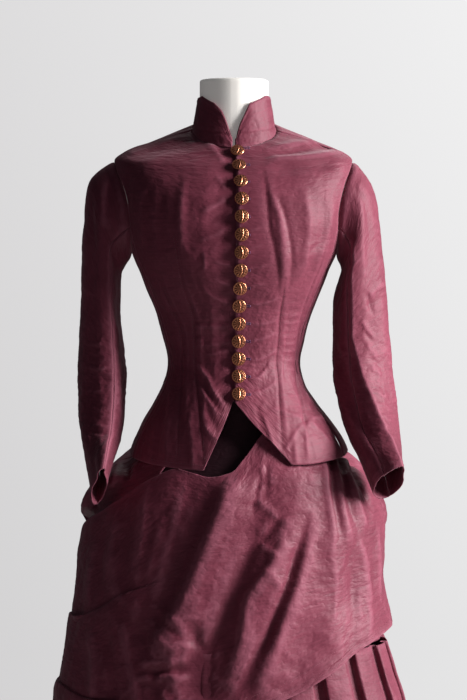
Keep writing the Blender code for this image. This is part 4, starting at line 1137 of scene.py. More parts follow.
apronCreases = (
    ("width", "depth", "lean", "edge", "path"),
    # the great ridge that sweeps from the opening to the lower right, and the troughs beside it
    (24, 12, -0.5, 1.7, 10, -133, -5, -174, -19, -219, -38, -267, -64, -331, -90, -389, -122, -443,
     -157, -507),
    (12, -7, 0, 1.8, 38, -213, 32, -267, 16, -315, -3, -363, -22, -411, -51, -459, -86, -523),
    (2.5, 1, 0.2, 1.4, 3, -229, -6, -258, -19, -302, -35, -363, -54, -411),
    (5, -3.2, 0, 1.5, 42, -165, 40, -187, 34, -210, 26, -242),
    (4, -3, 0, 1.5, 51, -149, 50, -178, 48, -222),
    (4, 2.2, 0, 1.4, 45, -152, 45, -181, 40, -213),
    # a crushed patch
    (5, 3, 0.3, 1.3, 29, -206, 45, -218, 61, -232, 80, -251),
    (6, -4, 0, 1.4, 77, -232, 64, -251, 51, -267, 29, -290),
    (5, 2.4, 0.3, 1.3, 35, -270, 48, -283, 64, -296, 77, -309),
    (6, -3.6, 0, 1.4, 61, -296, 45, -315, 29, -334, 10, -354),
    (4.5, 2, 0, 1.3, 38, -318, 54, -325, 67, -338, 77, -354),
    # the long dark fold, with its swells
    (7, -8.5, 0, 1.6, 118, -219, 102, -283, 86, -336, 70, -379, 54, -419, 29, -462, -3, -539),
    (16, 10, -0.45, 1.6, 86, -219, 72, -283, 43, -328, 19, -366, 14, -411, 0, -459, -19, -539),
    (22, 10, -0.65, 1.7, 130, -203, 112, -283, 96, -339, 80, -379, 67, -419, 48, -467, 22, -547),
    (12, -9, 0, 1.8, -67, -389, -58, -427, -50, -475, -38, -539),
    (7, -6, 0, 1.6, -134, -475, -102, -472, -70, -469, -35, -459),
    (4, 1.4, 0, 1.5, 144, -251, 154, -299, 160, -363, 154, -427),
    # the pleats at the hip
    (5, 3.6, 0.3, 1.5, 141, -126, 144, -158, 149, -203, 155, -251, 160, -309),
    (4, -3.4, 0, 1.6, 149, -130, 154, -162, 158, -206, 165, -251, 173, -302),
    (5, 3.8, 0.3, 1.5, 157, -126, 162, -158, 168, -203, 176, -245, 189, -296),
    (4, -3.6, 0, 1.6, 166, -130, 171, -162, 178, -200, 187, -238, 202, -283),
    (5, 4, 0.3, 1.5, 173, -126, 179, -158, 189, -197, 200, -232, 218, -270),
    (4, -3.4, 0, 1.6, 179, -136, 187, -165, 198, -194, 211, -219, 230, -248),
    (5, 3.8, 0.2, 1.5, 182, -133, 195, -158, 211, -184, 227, -206, 246, -229),
    (7, 3, 0, 1.8, 189, -251, 202, -293, 211, -347, 214, -411, 211, -459),
    (8, -3, 0, 1.8, 176, -283, 186, -331, 189, -389, 186, -443),
    (6, 2.4, 0, 1.8, 227, -235, 230, -283, 230, -347, 227, -411),
    # on the wearer's right: a dark sweep, and soft upright folds
    (12, -4, 0, 2, -32, -184, -51, -232, -74, -290, -99, -354, -128, -405),
    (9, 2.2, 0.2, 1.6, -70, -155, -83, -206, -99, -267, -115, -325, -134, -379),
    (8, 2.4, 0.2, 1.6, -131, -171, -141, -219, -147, -277, -150, -325, -147, -373),
    (8, -2.4, 0, 1.8, -154, -197, -163, -245, -170, -296, -170, -347, -166, -386),
    (8, 2.2, 0.2, 1.6, -179, -219, -189, -264, -192, -309, -186, -350, -176, -389),
    (7, -2, 0, 1.8, -202, -251, -208, -296, -208, -341, -202, -386),
    (7, 2.2, 0, 1.6, -218, -277, -227, -315, -230, -363, -227, -398),
    (9, 2, 0, 1.7, -106, -219, -118, -267, -131, -312, -141, -354),
    # below the first tuck
    (9, 4.6, 0.2, 1.6, -227, -408, -221, -450, -218, -494, -221, -539),
    (8, -4, 0, 1.8, -205, -405, -195, -450, -189, -494, -186, -546),
    (9, 4.4, 0.2, 1.6, -176, -389, -166, -437, -157, -488, -147, -546),
    (7, -3.6, 0, 1.8, -150, -386, -138, -430, -125, -478, -115, -546),
    (7, 3.6, 0, 1.6, -131, -379, -112, -427, -93, -482, -77, -546),
    (5, 2.4, 0, 1.4, -141, -373, -118, -379, -93, -395, -70, -418),
    (4, -2.2, 0, 1.4, -134, -389, -112, -398, -90, -414, -70, -440),
    (4, 2, 0, 1.3, -134, -414, -112, -427, -90, -443, -67, -466),
    (3.4, -2.4, 0, 1.4, -160, -482, -131, -477, -99, -474, -54, -470),
    (4.6, 2.2, 0, 1.4, -160, -491, -131, -488, -99, -485, -54, -483),
    (4, 2, 0, 1.4, -157, -466, -128, -462, -96, -459, -58, -454),
)


def apronLift(angle, level):
    # how far the drapery stands off the foundation: soft folds that sweep down to the wearer's right
    swing = angle + 55 * (0.90 - level)
    fold = 0.0028 * np.cos(np.radians(13 * swing)) * stepUp(0.90 - level, 0.02, 0.16)
    middle = stepUp(angle, -75, -10) * (1 - stepUp(angle, 38, 62))
    side = 0.010 * stepUp(np.abs(angle), 55, 90) * stepUp(0.88 - level, 0.0, 0.08)
    return apron["clear"] + fold * middle + side


def knotMix(shares, rows, blur):
    # how much each knot down the cloth counts at each row: straight runs between the knots, rounded at the
    # turns
    place = np.linspace(0, 1, rows)
    mix = np.stack([np.interp(place, shares, one) for one in np.eye(len(shares))], axis=1)
    for _ in range(blur):
        mix[1:-1] = (mix[:-2] + 2 * mix[1:-1] + mix[2:]) / 4
    return mix


def makeApron():
    # each upright line of the drapery goes from its top behind the tuck's edge, back up to that edge, and
    # over it; then the same again at the band
    rows, columns = apron["size"]
    angle = np.linspace(-apron["reach"], apron["reach"], columns)
    top = smooth(apronTop, "level", angle)
    hem = smooth(apronHem, "level", angle)
    tuckOn = 1 - stepUp(angle, -50, -8)
    bandOn = 1 - stepUp(angle, -24, 6)
    tuckEdge = smooth(tuckLine, "level", angle) + 0.004 * np.sin(np.radians(7 * angle)) * tuckOn
    bandEdge = smooth(bandLine, "level", angle) + 0.003 * np.sin(np.radians(9 * angle + 60)) * bandOn
    bandEdge = np.maximum(bandEdge, hem + 0.012)
    tuckEdge = np.maximum(tuckEdge, bandEdge + 0.03)
    over = apron["overlap"]
    step = apron["step"]
    shares = (0.0, 0.46, 0.495, 0.53, 0.80, 0.83, 0.86, 1.0)
    apart = 0.022 * (1 - tuckOn)
    below = 0.016 * (1 - bandOn) * stepUp(bandEdge - hem, 0.012, 0.05)
    levels = np.stack([top, tuckEdge - over * tuckOn + apart, tuckEdge, tuckEdge - over * tuckOn - apart,
                       bandEdge - over * bandOn + below, bandEdge, bandEdge - over * bandOn - below, hem])
    flat = 0 * angle
    proud = np.stack([flat, flat, 0.6 * step * tuckOn, step * tuckOn, step * tuckOn,
                      step * (tuckOn + 0.6 * bandOn), step * (tuckOn + bandOn), step * (tuckOn + bandOn)])
    mix = knotMix(shares, rows, 3)
    level = (mix @ levels)[::-1]
    lift = (mix @ proud)[::-1]
    wide = np.broadcast_to(angle[None, :], level.shape)
    points = ring(skirtRings, level, wide, apronLift(wide, level) + lift)
    x = points[..., 0]
    z = points[..., 2]
    across = np.radians(wide) * 0.20
    height = creases(x, z, apronCreases)
    fromTop = runs(points, 0)
    fromTop = fromTop[-1:] - fromTop
    height = height + 0.0042 * softNoise(across, z, 0.075, 81) + 0.0016 * softNoise(across, z, 0.034, 82)
    # most crushed under the tuck, and along the lower edge
    crushed = 0.5 + 1.3 * hump(x, -0.08, 0.06) * hump(z, 0.55, 0.08)
    crushed = crushed + 0.7 * hump(z, 0.50, 0.07) * hump(x, 0.0, 0.12)
    small = 0.0024 * crinkle(across, z, 0.027, 84, 1.6) + 0.0014 * crinkle(across, z, 0.0115, 88, 1.2)
    height = height + crushed * small
    height = height * (0.25 + 0.75 * stepUp(fromTop, 0.0, 0.03))
    # no trough is deeper than the room over the layer below
    room = 0.0042 + 0.0075 * stepUp(z, 0.540, 0.590) + 0.010 * stepUp(lift, 0.006, 0.012)
    height = np.maximum(height, -room)
    made = clothPiece("apronDrape", "apron_drape", points, height, drapeSilk, apron["wall"])


# The back drapery
pouf = {"wall": 0.0012, "size": (100, 220), "clear": 0.0055}
# swags over the bustle: how far round from the centre back (minus on the wearer's right), and the level
poufCreases = (
    ("width", "depth", "lean", "edge", "path"),
    (13, 9, 0.3, 1.7, -300, -158, -180, -194, -40, -208, 100, -192, 240, -150),
    (10, -8, 0, 1.8, -300, -185, -180, -224, -30, -238, 120, -220, 260, -178),
    (13, 9, 0.3, 1.7, -300, -208, -160, -252, -20, -270, 130, -250, 270, -200),
    (10, -8, 0, 1.8, -300, -240, -170, -284, -20, -300, 130, -282, 280, -238),
    (13, 9, 0.3, 1.7, -310, -265, -170, -314, -30, -332, 130, -312, 280, -264),
    (10, -7, 0, 1.8, -310, -300, -170, -348, -20, -364, 130, -346, 280, -300),
    (13, 8, 0.2, 1.7, -320, -328, -180, -376, -20, -392, 130, -374, 280, -328),
    (7, 5, 0.3, 1.5, -260, -132, -200, -154, -120, -170, -40, -174),
    (6, -4, 0, 1.6, 50, -128, 110, -150, 180, -158, 250, -142),
    (8, 5, 0, 1.6, -50, -110, -60, -150, -90, -185),
    (8, 5, 0, 1.6, 30, -110, 50, -150, 90, -182),
    (7, -4, 0, 1.8, -10, -110, -10, -150, -20, -188),
    (7, 4, 0, 1.5, 180, -230, 150, -258, 90, -278),
    (7, 4, 0, 1.5, -220, -256, -160, -278, -80, -294),
    (6, 4, 0, 1.5, 200, -300, 150, -320, 80, -338),
    (6, 4, 0, 1.5, -220, -316, -140, -338, -60, -350),
)
# the loops that show past the front drapery on the wearer's right
hipCreases = (
    ("width", "depth", "lean", "edge", "path"),
    (7, 6, 0.2, 1.6, -163, -142, -176, -152, -186, -165, -190, -187, -189, -216),
    (5, -6.5, 0, 1.7, -165, -158, -168, -178, -170, -197, -173, -219),
    (6, 6, 0.2, 1.5, -195, -184, -205, -197, -214, -213, -227, -232, -243, -258),
    (5, -5, 0, 1.7, -186, -219, -202, -235, -218, -251, -237, -277),
    (7, 6, 0.2, 1.5, -218, -181, -227, -203, -240, -232, -250, -264),
    (5, -5, 0, 1.7, -227, -251, -240, -283, -250, -325),
    (7, 5, 0, 1.6, -246, -267, -256, -309, -262, -363, -269, -418),
    (6, -4, 0, 1.7, -259, -315, -266, -363, -272, -411),
    (6, 4, 0, 1.6, -237, -309, -243, -357, -250, -398),
)


def poufLift(angle, level):
    # full loops over the bustle, held in under the basque's edge and under the front drapery on the
    # wearer's right
    front = np.where(angle > 180, 360 - angle, angle)
    near = np.where(angle > 180, angle - 360, angle)
    outBelow = np.minimum(along(bodiceHem, "level", near) - 0.014, 0.880)
    loops = 0.009 * np.abs(np.sin(pi * (0.90 - level) / 0.10))
    right = stepUp(angle, 190, 250) * (1 - stepUp(angle, 275, 318))
    full = (0.026 + 0.008 * right) * np.sin(pi * np.clip((0.90 - level) / 0.30, 0, 1)) ** 0.7
    folds = 0.004 * np.cos(np.radians(11 * angle)) * stepUp(0.88 - level, 0.02, 0.12)
    free = (0.014 + full + loops + folds) * stepUp(outBelow - level, 0.0, 0.03) * stepUp(front, 30, 80)
    free = free * (1 - 0.5 * stepUp(angle, 232, 260))
    covered = 1 - stepUp(level - along(apronTop, "level", near), 0.024, 0.055)
    tucked = np.where(angle > 180, covered, 1.0) * (1 - stepUp(front, 101, 113))
    return pouf["clear"] + 0.007 * (1 - stepUp(angle, 215, 255)) + free * (1 - tucked), 1 - tucked


def makePouf():
    rows, columns = pouf["size"]
    angle = np.linspace(99, 322, columns)[None, :]
    near = angle - 360
    lowFront = along(apronTop, "level", near) - 0.030
    low = np.where(near > -99, lowFront, 0.585 - 0.02 * np.cos(np.radians(2 * angle)))
    high = 0.905 - 0.02 * stepUp(angle, 262, 322)
    share = np.linspace(0, 1, rows)[:, None]
    level = low + (high - low) * share
    wide = angle + 0 * level
    lift, free = poufLift(wide, level)
    points = ring(skirtRings, level, wide, lift)
    fromBack = np.radians(180 - wide) * 0.26
    hip = stepUp(wide, 250, 268)
    z = points[..., 2]
    height = creases(fromBack, z, poufCreases) * (1 - hip) + creases(points[..., 0], z, hipCreases) * hip
    height = height + 0.004 * softNoise(fromBack, z, 0.07, 91)
    height = height + 0.0022 * crinkle(fromBack, z, 0.034, 94, 0.7) + 0.0010 * crinkle(fromBack, z, 0.014, 98)
    keep = stepUp(0.895 - level, 0.0, 0.03) * stepUp(free, 0.0, 0.8)
    height = np.maximum(height * keep, -0.008)
    made = clothPiece("backPouf", "back_pouf", points, height, drapeSilk, pouf["wall"])


fall = {"wall": 0.0012, "size": (86, 128), "low": 0.390, "high": 0.655, "pleat": 0.047, "pleatDepth": 0.0052}


def makeFall():
    # the end of the back drapery: it hangs from under the loops in wide rounded folds
    rows, columns = fall["size"]
    angle = np.linspace(106, 250, columns)[None, :]
    level = fall["low"] + (fall["high"] - fall["low"]) * np.linspace(0, 1, rows)[:, None]
    wide = 0.026 * stepUp(angle, 215, 250)
    fold = 0.006 * np.cos(np.radians(14 * angle))
    out = stepUp(0.575 - level, 0.0, 0.06) * stepUp(angle, 104, 118)
    broad = angle + 0 * level
    points = ring(skirtRings, level, broad, 0.0075 + (0.014 + fold + wide) * out)
    across = np.radians(180 - broad) * 0.30
    z = points[..., 2]
    sway = across + 0.012 * softNoise(across, z, 0.16, 101)
    pleats = fall["pleatDepth"] * np.abs(np.sin(pi * sway / fall["pleat"])) ** 0.7 - 0.002
    small = 0.0022 * softNoise(across, z, 0.05, 102) + 0.0016 * crinkle(across, z, 0.028, 104, 1.8)
    height = (pleats + small) * out
    made = clothPiece("backFall", "back_fall", points, height, drapeSilk, fall["wall"])


# The foundation skirt and the pleats on its lower edge
foundation = {"low": 0.556, "high": 0.985, "size": (56, 90)}
kilt = {
    "wall": 0.0012,
    "pleats": 26,
    "depth": 0.019,
    "top": 0.552,
    "clear": 0.012,
    "rows": 52,
    "columnsEach": 17,
}
# one knife pleat across: where the cloth is, as a share of the pitch, and how high; it folds back under
# itself
pleatShape = (
    ("step", "place", "height"),
    (0.00, 0.000, 0.02), (0.10, 0.200, 0.00), (0.16, 0.262, 0.06), (0.22, 0.242, 0.50), (0.28, 0.225, 0.88),
    (0.34, 0.262, 1.00), (0.50, 0.440, 0.98), (0.68, 0.700, 0.90), (0.84, 0.905, 0.82), (0.90, 0.955, 0.72),
    (0.94, 0.965, 0.40), (1.00, 1.000, 0.02),
)


def makeFoundation():
    # a plain tube down to the pleats
    rows, columns = foundation["size"]
    angle = np.linspace(0, 360, columns + 1)[None, :-1]
    level = np.linspace(foundation["low"], foundation["high"], rows)[:, None]
    points = ring(skirtRings, level, angle + 0 * level)
    across = np.radians(angle + 0 * level) * 0.2
    height = 0.001 * softNoise(across, points[..., 2], 0.09, 111) * stepUp(np.abs(angle - 180), 0, 20)
    ends = stepUp(foundation["high"] - level, 0, 0.02) * stepUp(level, foundation["low"], 0.57)
    height = height * ends - 0.0004
    made = clothPiece("foundationSkirt", "foundation_skirt", points, height, foundationSilk, closed=True)


def makeKilt():
    # knife pleats round the lower edge: each is the same folded profile, pressed flat at the top and open
    # at the hem
    starts = evenAngles(skirtRings, 0.30, kilt["pleats"])
    pitch = np.diff(np.append(starts, 360.0))
    step = np.linspace(0, 1, kilt["columnsEach"] + 1)[:-1]
    place = np.interp(step, column(pleatShape, "step"), column(pleatShape, "place"))
    rise = np.interp(step, column(pleatShape, "step"), column(pleatShape, "height"))
    level = np.linspace(kilt["clear"], kilt["top"], kilt["rows"])[:, None]
    angle = (starts[:, None] + pitch[:, None] * place).reshape(1, -1) + 0 * level
    lift = np.tile(rise, kilt["pleats"])[None, :]
    spreadOut = np.interp(level, [kilt["clear"], 0.30, kilt["top"]], [1.0, 0.85, 0.52])
    number = np.repeat(np.arange(kilt["pleats"]), kilt["columnsEach"])[None, :]
    own = np.random.default_rng(121).uniform(-1, 1, (3, kilt["pleats"]))[:, number[0]]
    down = (kilt["top"] - level) / kilt["top"]
    angle = angle + (0.9 * own[0] * np.sin(2.2 * down + own[1]) * down)
    points = ring(skirtRings, level, angle, kilt["depth"] * spreadOut * lift * (1 + 0.12 * own[2] * down))
    across = np.radians(angle) * 0.30
    z = points[..., 2]
    height = 0.0014 * softNoise(across, z, 0.06, 122) + 0.0009 * crinkle(across, z, 0.03, 124, 2.2)
    height = height * stepUp(down, 0.0, 0.08)
    made = clothPiece("kiltFlounce", "kilt_flounce", points, height, skirtSilk, kilt["wall"], closed=True)


makeFoundation()
makeKilt()
makeFall()
makePouf()
makeApron()
print("skirt made")


# Buttons, buttonholes and stitches
button = {
    "count": 15,
    "radius": 0.011,
    "top": 1.341,
    "bottom": 0.951,
    "gap": 0.0013,
    "rings": 26,
    "spokes": 56,
    "offCentre": 0.0050,
    "drift": 0.0035,
}


def buttonPlace(i):
    # a button's distance from the centre line and its level; the row drifts a little to the wearer's left
    level = button["top"] + (button["bottom"] - button["top"]) * i / (button["count"] - 1)
    return button["offCentre"] + button["drift"] * (button["top"] - level), level


def buttonRelief(r, turn):
    # stamped relief on a shallow dome: a beaded rim, radiating leaves, and a crescent down the middle
    x = r * np.cos(turn)
    y = r * np.sin(turn)
    dome = 0.0042 * np.sqrt(np.clip(1 - (r / 1.08) ** 2, 0, 1))
    rim = 0.0007 * hump(r, 0.93, 0.055) + 0.00028 * hump(r, 0.93, 0.05) * np.cos(36 * turn)
    leaves = 0.00042 * hump(r, 0.62, 0.20) * np.cos(12 * turn) * stepUp(r, 0.25, 0.5)
    bow = x - 0.16 * (1 - (y / 0.8) ** 2)
    crescent = 0.00075 * hump(bow, 0.0, 0.075) * (1 - stepUp(np.abs(y), 0.62, 0.78))
    hollow = -0.0004 * hump(bow, 0.17, 0.07) * (1 - stepUp(np.abs(y), 0.55, 0.75))
    cutLines = -0.0003 * np.exp(-((np.abs(np.sin(7 * y + 1.2 * x)) / 0.28) ** 2)) * (1 - stepUp(r, 0.5, 0.72))
    raised = rim + leaves + crescent + hollow + cutLines
    return dome + raised, raised


def makeButtons():
    # each button is a disc in polar coordinates, square to the cloth under it; the CAD's button is where it
    # sits
    rings, spokes = button["rings"], button["spokes"]
    r = np.concatenate([np.linspace(0.02, 1.0, rings) ** 0.9, [1.0, 0.97, 0.5, 0.02]])[:, None]
    turn = np.linspace(0, 2 * pi, spokes + 1)[None, :-1]
    high, raised = buttonRelief(r, turn)
    high[rings] = 0.0012
    high[rings + 1] = 0.0002
    high[rings + 2:] = 0.0
    raised[rings:] = -0.0004
    relief = np.clip(0.42 + raised / 0.0011, 0, 1)
    for i in range(button["count"]):
        x, level = buttonPlace(i)
        row = min(level + float(smooth(bodiceRings, "tilt", level)), bodice["neck"])
        angle = np.degrees(np.arcsin(x / smooth(bodiceRings, "right", row)))
        spot = ring(bodiceRings, row, angle)
        above = min(row + button["radius"], bodice["neck"])
        up = ring(bodiceRings, above, angle) - ring(bodiceRings, row - button["radius"], angle)
        over = ring(bodiceRings, row, angle + 4) - ring(bodiceRings, row, angle - 4)
        out = unit(np.cross(over, up))
        over = unit(over)
        up = np.cross(out, over)
        tip = np.radians((37 * i) % 23 - 11)
        first = over * np.cos(tip) + up * np.sin(tip)
        second = np.cross(out, first)
        reach = button["gap"] + 0.0012 * abs(out[2])
        spokeWays = np.cos(turn)[..., None] * first + np.sin(turn)[..., None] * second
        disc = button["radius"] * r[..., None] * spokeWays
        points = spot + out * (reach + high[..., None]) + disc
        name = f"reliefButton_{i + 1:02d}"
        mesh = gridMesh(name, points[::-1], closed=True)
        addAttribute(mesh, "relief", relief[::-1])
        faceOutward(mesh, len(r), spokes)
        made = addObject(name, mesh, buttonMetal)
        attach(made, "root")
        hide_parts(f"button_{i + 1:02d}")


def faceOutward(mesh, rows=0, columns=0):
    # all faces outward; where rows and columns are given, caps close the first and the last row of a closed
    # grid
    shape = bmesh.new()
    shape.from_mesh(mesh)
    if rows:
        shape.verts.ensure_lookup_table()
        low = [shape.verts[i] for i in range(columns)]
        high = [shape.verts[(rows - 1) * columns + i] for i in range(columns)]
        shape.faces.new(low[::-1]).smooth = True
        shape.faces.new(high).smooth = True
    bmesh.ops.recalc_face_normals(shape, faces=shape.faces)
    shape.to_mesh(mesh)
    shape.free()


stitchGrain = np.array([(-1, 0, 0), (0, 1.15, 0), (0, 0, 1.15), (0, -1.15, 0), (0, 0, -1.15), (1, 0, 0)])
stitchFaces = np.array([
    (0, 1, 2), (0, 2, 3), (0, 3, 4), (0, 4, 1), (5, 2, 1), (5, 3, 2), (5, 4, 3), (5, 1, 4),
])


def stitches(name, spots, ways, outs, size, material, slot):
    # many small threads as one mesh: a grain with eight faces at each spot, along its way and flat on the
    # cloth
    half, thick = size
    sides = np.cross(outs, ways)
    frameOf = np.stack([ways * half, sides * thick, outs * thick], axis=1)
    points = spots[:, None, :] + np.einsum("gk,nkx->ngx", stitchGrain, frameOf)
    count = len(stitchGrain)
    faces = stitchFaces[None] + count * np.arange(len(spots))[:, None, None]
    mesh = bpy.data.meshes.new(name)
    mesh.from_pydata(points.reshape(-1, 3).tolist(), [], faces.reshape(-1, 3).tolist())
    mesh.shade_smooth()
    faceOutward(mesh)
    obj = addObject(name, mesh, material)
    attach(obj, "root")


def alongEdge(surfaceName, which, inset, pitch, skip=0.0):
    # spots along a piece's edge, inset from it, at even steps: which is low, high, first or last
    points, normals = surfaces[surfaceName]
    if which in ("first", "last"):
        points, normals = points.transpose(1, 0, 2), normals.transpose(1, 0, 2)
    if which in ("high", "last"):
        points, normals = points[::-1], normals[::-1]
    deep = runs(points, 0)
    pick = np.argmax(deep >= inset, axis=0)
    columns = np.arange(points.shape[1])
    line, outs = points[pick, columns], normals[pick, columns]
    run = np.concatenate([[0.0], np.cumsum(np.linalg.norm(np.diff(line, axis=0), axis=1))])
    at = np.arange(skip + pitch / 2, run[-1] - skip, pitch)
    spots = np.stack([np.interp(at, run, line[:, k]) for k in range(3)], axis=1)
    raised = unit(np.stack([np.interp(at, run, outs[:, k]) for k in range(3)], axis=1))
    ways = unit(np.gradient(spots, axis=0))
    return spots, unit(ways - raised * np.sum(ways * raised, axis=1, keepdims=True)), raised


def alongLine(surfaceName, path, pitch, offset=0.0):
    # spots along a line drawn on the cloth in the front view: the nearest grid point, slid in its tangent
    # plane
    points, normals = surfaces[surfaceName]
    points, normals = points.reshape(-1, 3), normals.reshape(-1, 3)
    fine = throughPoints(path, 40)
    run = np.concatenate([[0.0], np.cumsum(np.linalg.norm(np.diff(fine, axis=0), axis=1))])
    at = np.arange(pitch / 2, run[-1], pitch)
    x = np.interp(at, run, fine[:, 0])
    z = np.interp(at, run, fine[:, 1])
    way = unit(np.stack([np.gradient(x), np.gradient(z)], axis=1))
    x = x + offset * way[:, 1]
    z = z - offset * way[:, 0]
    front = normals[:, 1] < -0.05
    points, normals = points[front], normals[front]
    apartX = points[None, :, 0] - x[:, None]
    apartZ = points[None, :, 2] - z[:, None]
    nearest = np.argmin(apartX**2 + apartZ**2, axis=1)
    base, outs = points[nearest], normals[nearest]
    close = np.hypot(base[:, 0] - x, base[:, 2] - z) < 0.004
    y = base[:, 1] - (outs[:, 0] * (x - base[:, 0]) + outs[:, 2] * (z - base[:, 2])) / outs[:, 1]
    spots = np.stack([x, y, z], axis=1)[close]
    outs = outs[close]
    ways = unit(np.gradient(spots, axis=0))
    return spots, unit(ways - outs * np.sum(ways * outs, axis=1, keepdims=True)), outs


def joined(parts):
    return [np.concatenate([part[k] for part in parts]) for k in range(3)]


# the darts' sewn lines: the piece, then across and up in turn as in the crease tables
dartLines = (
    ("frontLeft", 78, 117, 72, 72, 70, 34, 67, 2, 69, -22, 72, -70, 75, -133, 77, -158),
    ("frontLeft", 122, 117, 107, 72, 101, 21, 99, -22, 106, -58, 112, -88),
    ("frontRight", -93, 200, -90, 182, -80, 120, -66, 82, -62, 42, -61, -3, -58, -46, -54, -83, -48, -149),
    ("frontRight", -122, 139, -102, 91, -86, 56, -83, 32, -83, -34, -86, -83, -88, -131, -90, -155),
)


# insets are how far each row of stitches runs from its piece's edge
sewing = {"half": 0.00105, "thick": 0.00021, "pitch": 0.0029, "hemPitch": 0.0034, "kiltPitch": 0.0040}
insets = {
    "seam": 0.0034,
    "hem": 0.0060,
    "lap": 0.0028,
    "collarTop": 0.0032,
    "collarBase": 0.0026,
    "dart": 0.0021,
}


def sew(name, rows, slot):
    stitches(name, *joined(rows), (sewing["half"], sewing["thick"]), seamThread, slot)


def makeSewing():
    # rows of small running stitches beside the seams, darts and hems
    pitch = sewing["pitch"]
    seams = []
    for word in ("Left", "Right"):
        start, end = ("first", "last") if word == "Left" else ("last", "first")
        for name, which in (("front", end), ("side", start), ("sideBack", start), ("back", start)):
            seams.append(alongEdge(name + word, which, insets["seam"], pitch))
            seams.append(alongEdge(name + word, "low", insets["hem"], pitch))
    seams.append(alongEdge("frontLeft", "first", insets["lap"], pitch))
    for name, *path in dartLines:
        for offset in (-insets["dart"], insets["dart"]):
            seams.append(alongLine(name, fromWaist(path), pitch, offset))
    seams.append(alongEdge("standCollar", "high", insets["collarTop"], pitch))
    seams.append(alongEdge("standCollar", "low", insets["collarBase"], pitch))
    sew("bodiceStitches", seams, "bodice_taffeta")

    arms = []
    for name in ("sleeveUpperLeft", "sleeveUnderLeft", "sleeveUpperRight", "sleeveUnderRight"):
        for which, inset in (("low", 0.0125), ("high", 0.0040), ("first", 0.0030)):
            arms.append(alongEdge(name, which, inset, pitch))
    sew("sleeveStitches", arms, "sleeve_taffeta")

    edges = (("apronDrape", "low", 0.006), ("apronDrape", "low", 0.028), ("apronDrape", "first", 0.007),
             ("apronDrape", "last", 0.007), ("backPouf", "low", 0.008), ("backFall", "low", 0.012))
    sew("drapeStitches", [alongEdge(*edge, sewing["hemPitch"]) for edge in edges], "drape_taffeta")
    hems = [alongEdge("kiltFlounce", "low", inset, sewing["kiltPitch"]) for inset in (0.014, 0.030)]
    sew("skirtStitches", hems, "skirt_taffeta")


hole = {
    "reach": 0.0135,
    "start": 0.006,
    "half": 0.0010,
    "thick": 0.00030,
    "pitch": 0.00062,
    "bite": 0.0012,
    "slitHalf": 0.0011,
    "slitThick": 0.00022,
    "slitPitch": 0.0012,
}


def makeButtonholes():
    # worked holes beside the buttons: purl stitches square to a slit, a bar at its end
    rows = []
    slits = []
    for i in range(button["count"]):
        x, level = buttonPlace(i)
        path = ((x + hole["start"], level), (x + hole["start"] + hole["reach"], level - 0.0004))
        for offset in (-hole["bite"], hole["bite"]):
            spots, ways, outs = alongLine("frontLeft", path, hole["pitch"], offset)
            rows.append((spots + outs * 0.0002, np.cross(outs, ways), outs))
        end = path[1][0]
        bar = ((end, level - 0.0024), (end, level + 0.0016))
        spots, ways, outs = alongLine("frontLeft", bar, hole["pitch"])
        rows.append((spots + outs * 0.0003, np.cross(outs, ways), outs))
        spots, ways, outs = alongLine("frontLeft", path, hole["slitPitch"])
        slits.append((spots, ways, outs))
    for name, spots, size, thread in (
        ("buttonholes", rows, (hole["half"], hole["thick"]), holeThread),
        ("buttonholeSlits", slits, (hole["slitHalf"], hole["slitThick"]), seamThread),
    ):
        stitches(name, *joined(spots), size, thread, "bodice_taffeta")


makeButtons()
makeSewing()
makeButtonholes()
print("buttons and sewing made")


# The form and its stand
form = {"inset": 0.0065, "around": 96}
formNeck = (
    ("level", "width", "depth", "tilt"),
    (1.3640, 0.0605, 0.0480, 0.028), (1.3800, 0.0575, 0.0470, 0.024), (1.4050, 0.0556, 0.0470, 0.012),
    (1.4280, 0.0552, 0.0480, 0.000), (1.4490, 0.0552, 0.0480, 0.000), (1.4520, 0.0540, 0.0468, 0.000),
    (1.4530, 0.0515, 0.0444, 0.000),
)


def makeForm():
    # the same rings as the bodice, moved in, with a stout neck and a flat top; a seam runs up each side and
    # up the middle of the front and the back
    angle = np.linspace(0, 360, form["around"] + 1)[:-1]
    loops = [ring(formRings, level, angle) for level in np.linspace(0.800, 1.040, 40)]
    for level in np.linspace(1.08, 1.360, 60):
        points = ring(bodiceRings, level, angle, -form["inset"])
        points[:, 2] -= form["inset"] * stepUp(level, 1.275, 1.32)
        loops.append(points)
    s = np.sin(np.radians(angle))
    c = np.cos(np.radians(angle))
    for level in np.concatenate([np.linspace(1.366, 1.449, 24), [1.4506, 1.4518, 1.4526, 1.4530]]):
        width, depth, tilt = (float(smooth(formNeck, name, level)) for name in ("width", "depth", "tilt"))
        loops.append(np.stack([width * s, -depth * c, level - tilt * c], axis=-1))
    points = np.array(loops)
    seam = sum(hump(angle, middle, 1.1) for middle in (0, 90, 180, 270, 360))
    points = points - normalsOf(points, True) * 0.0003 * seam[None, :, None]
    mesh = gridMesh("formBody", points, closed=True)
    faceOutward(mesh, len(loops), form["around"])
    made = addObject("formBody", mesh, formCover)
    mesh.set_sharp_from_angle(angle=radians(50))
    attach(made, "root")
    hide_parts("dress_form")


def dressCadNode(name, material):
    # a CAD piece keeps its own mesh and takes a better finish
    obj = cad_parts[name]
    obj.data.materials.clear()
    obj.data.materials.append(material)


makeForm()
dressCadNode("stand_pole", poleWood)
dressCadNode("stand_foot", footIron)
print("form and stand made")


# Floor, light and camera
stage = {
    "floorRadius": 2.2,
    "target": (-0.0008, -0.10, 1.0208),
    "eye": (0.0, -4.0, 1.10),
    "viewHigh": 1.100,
    "sensor": 36.0,
}


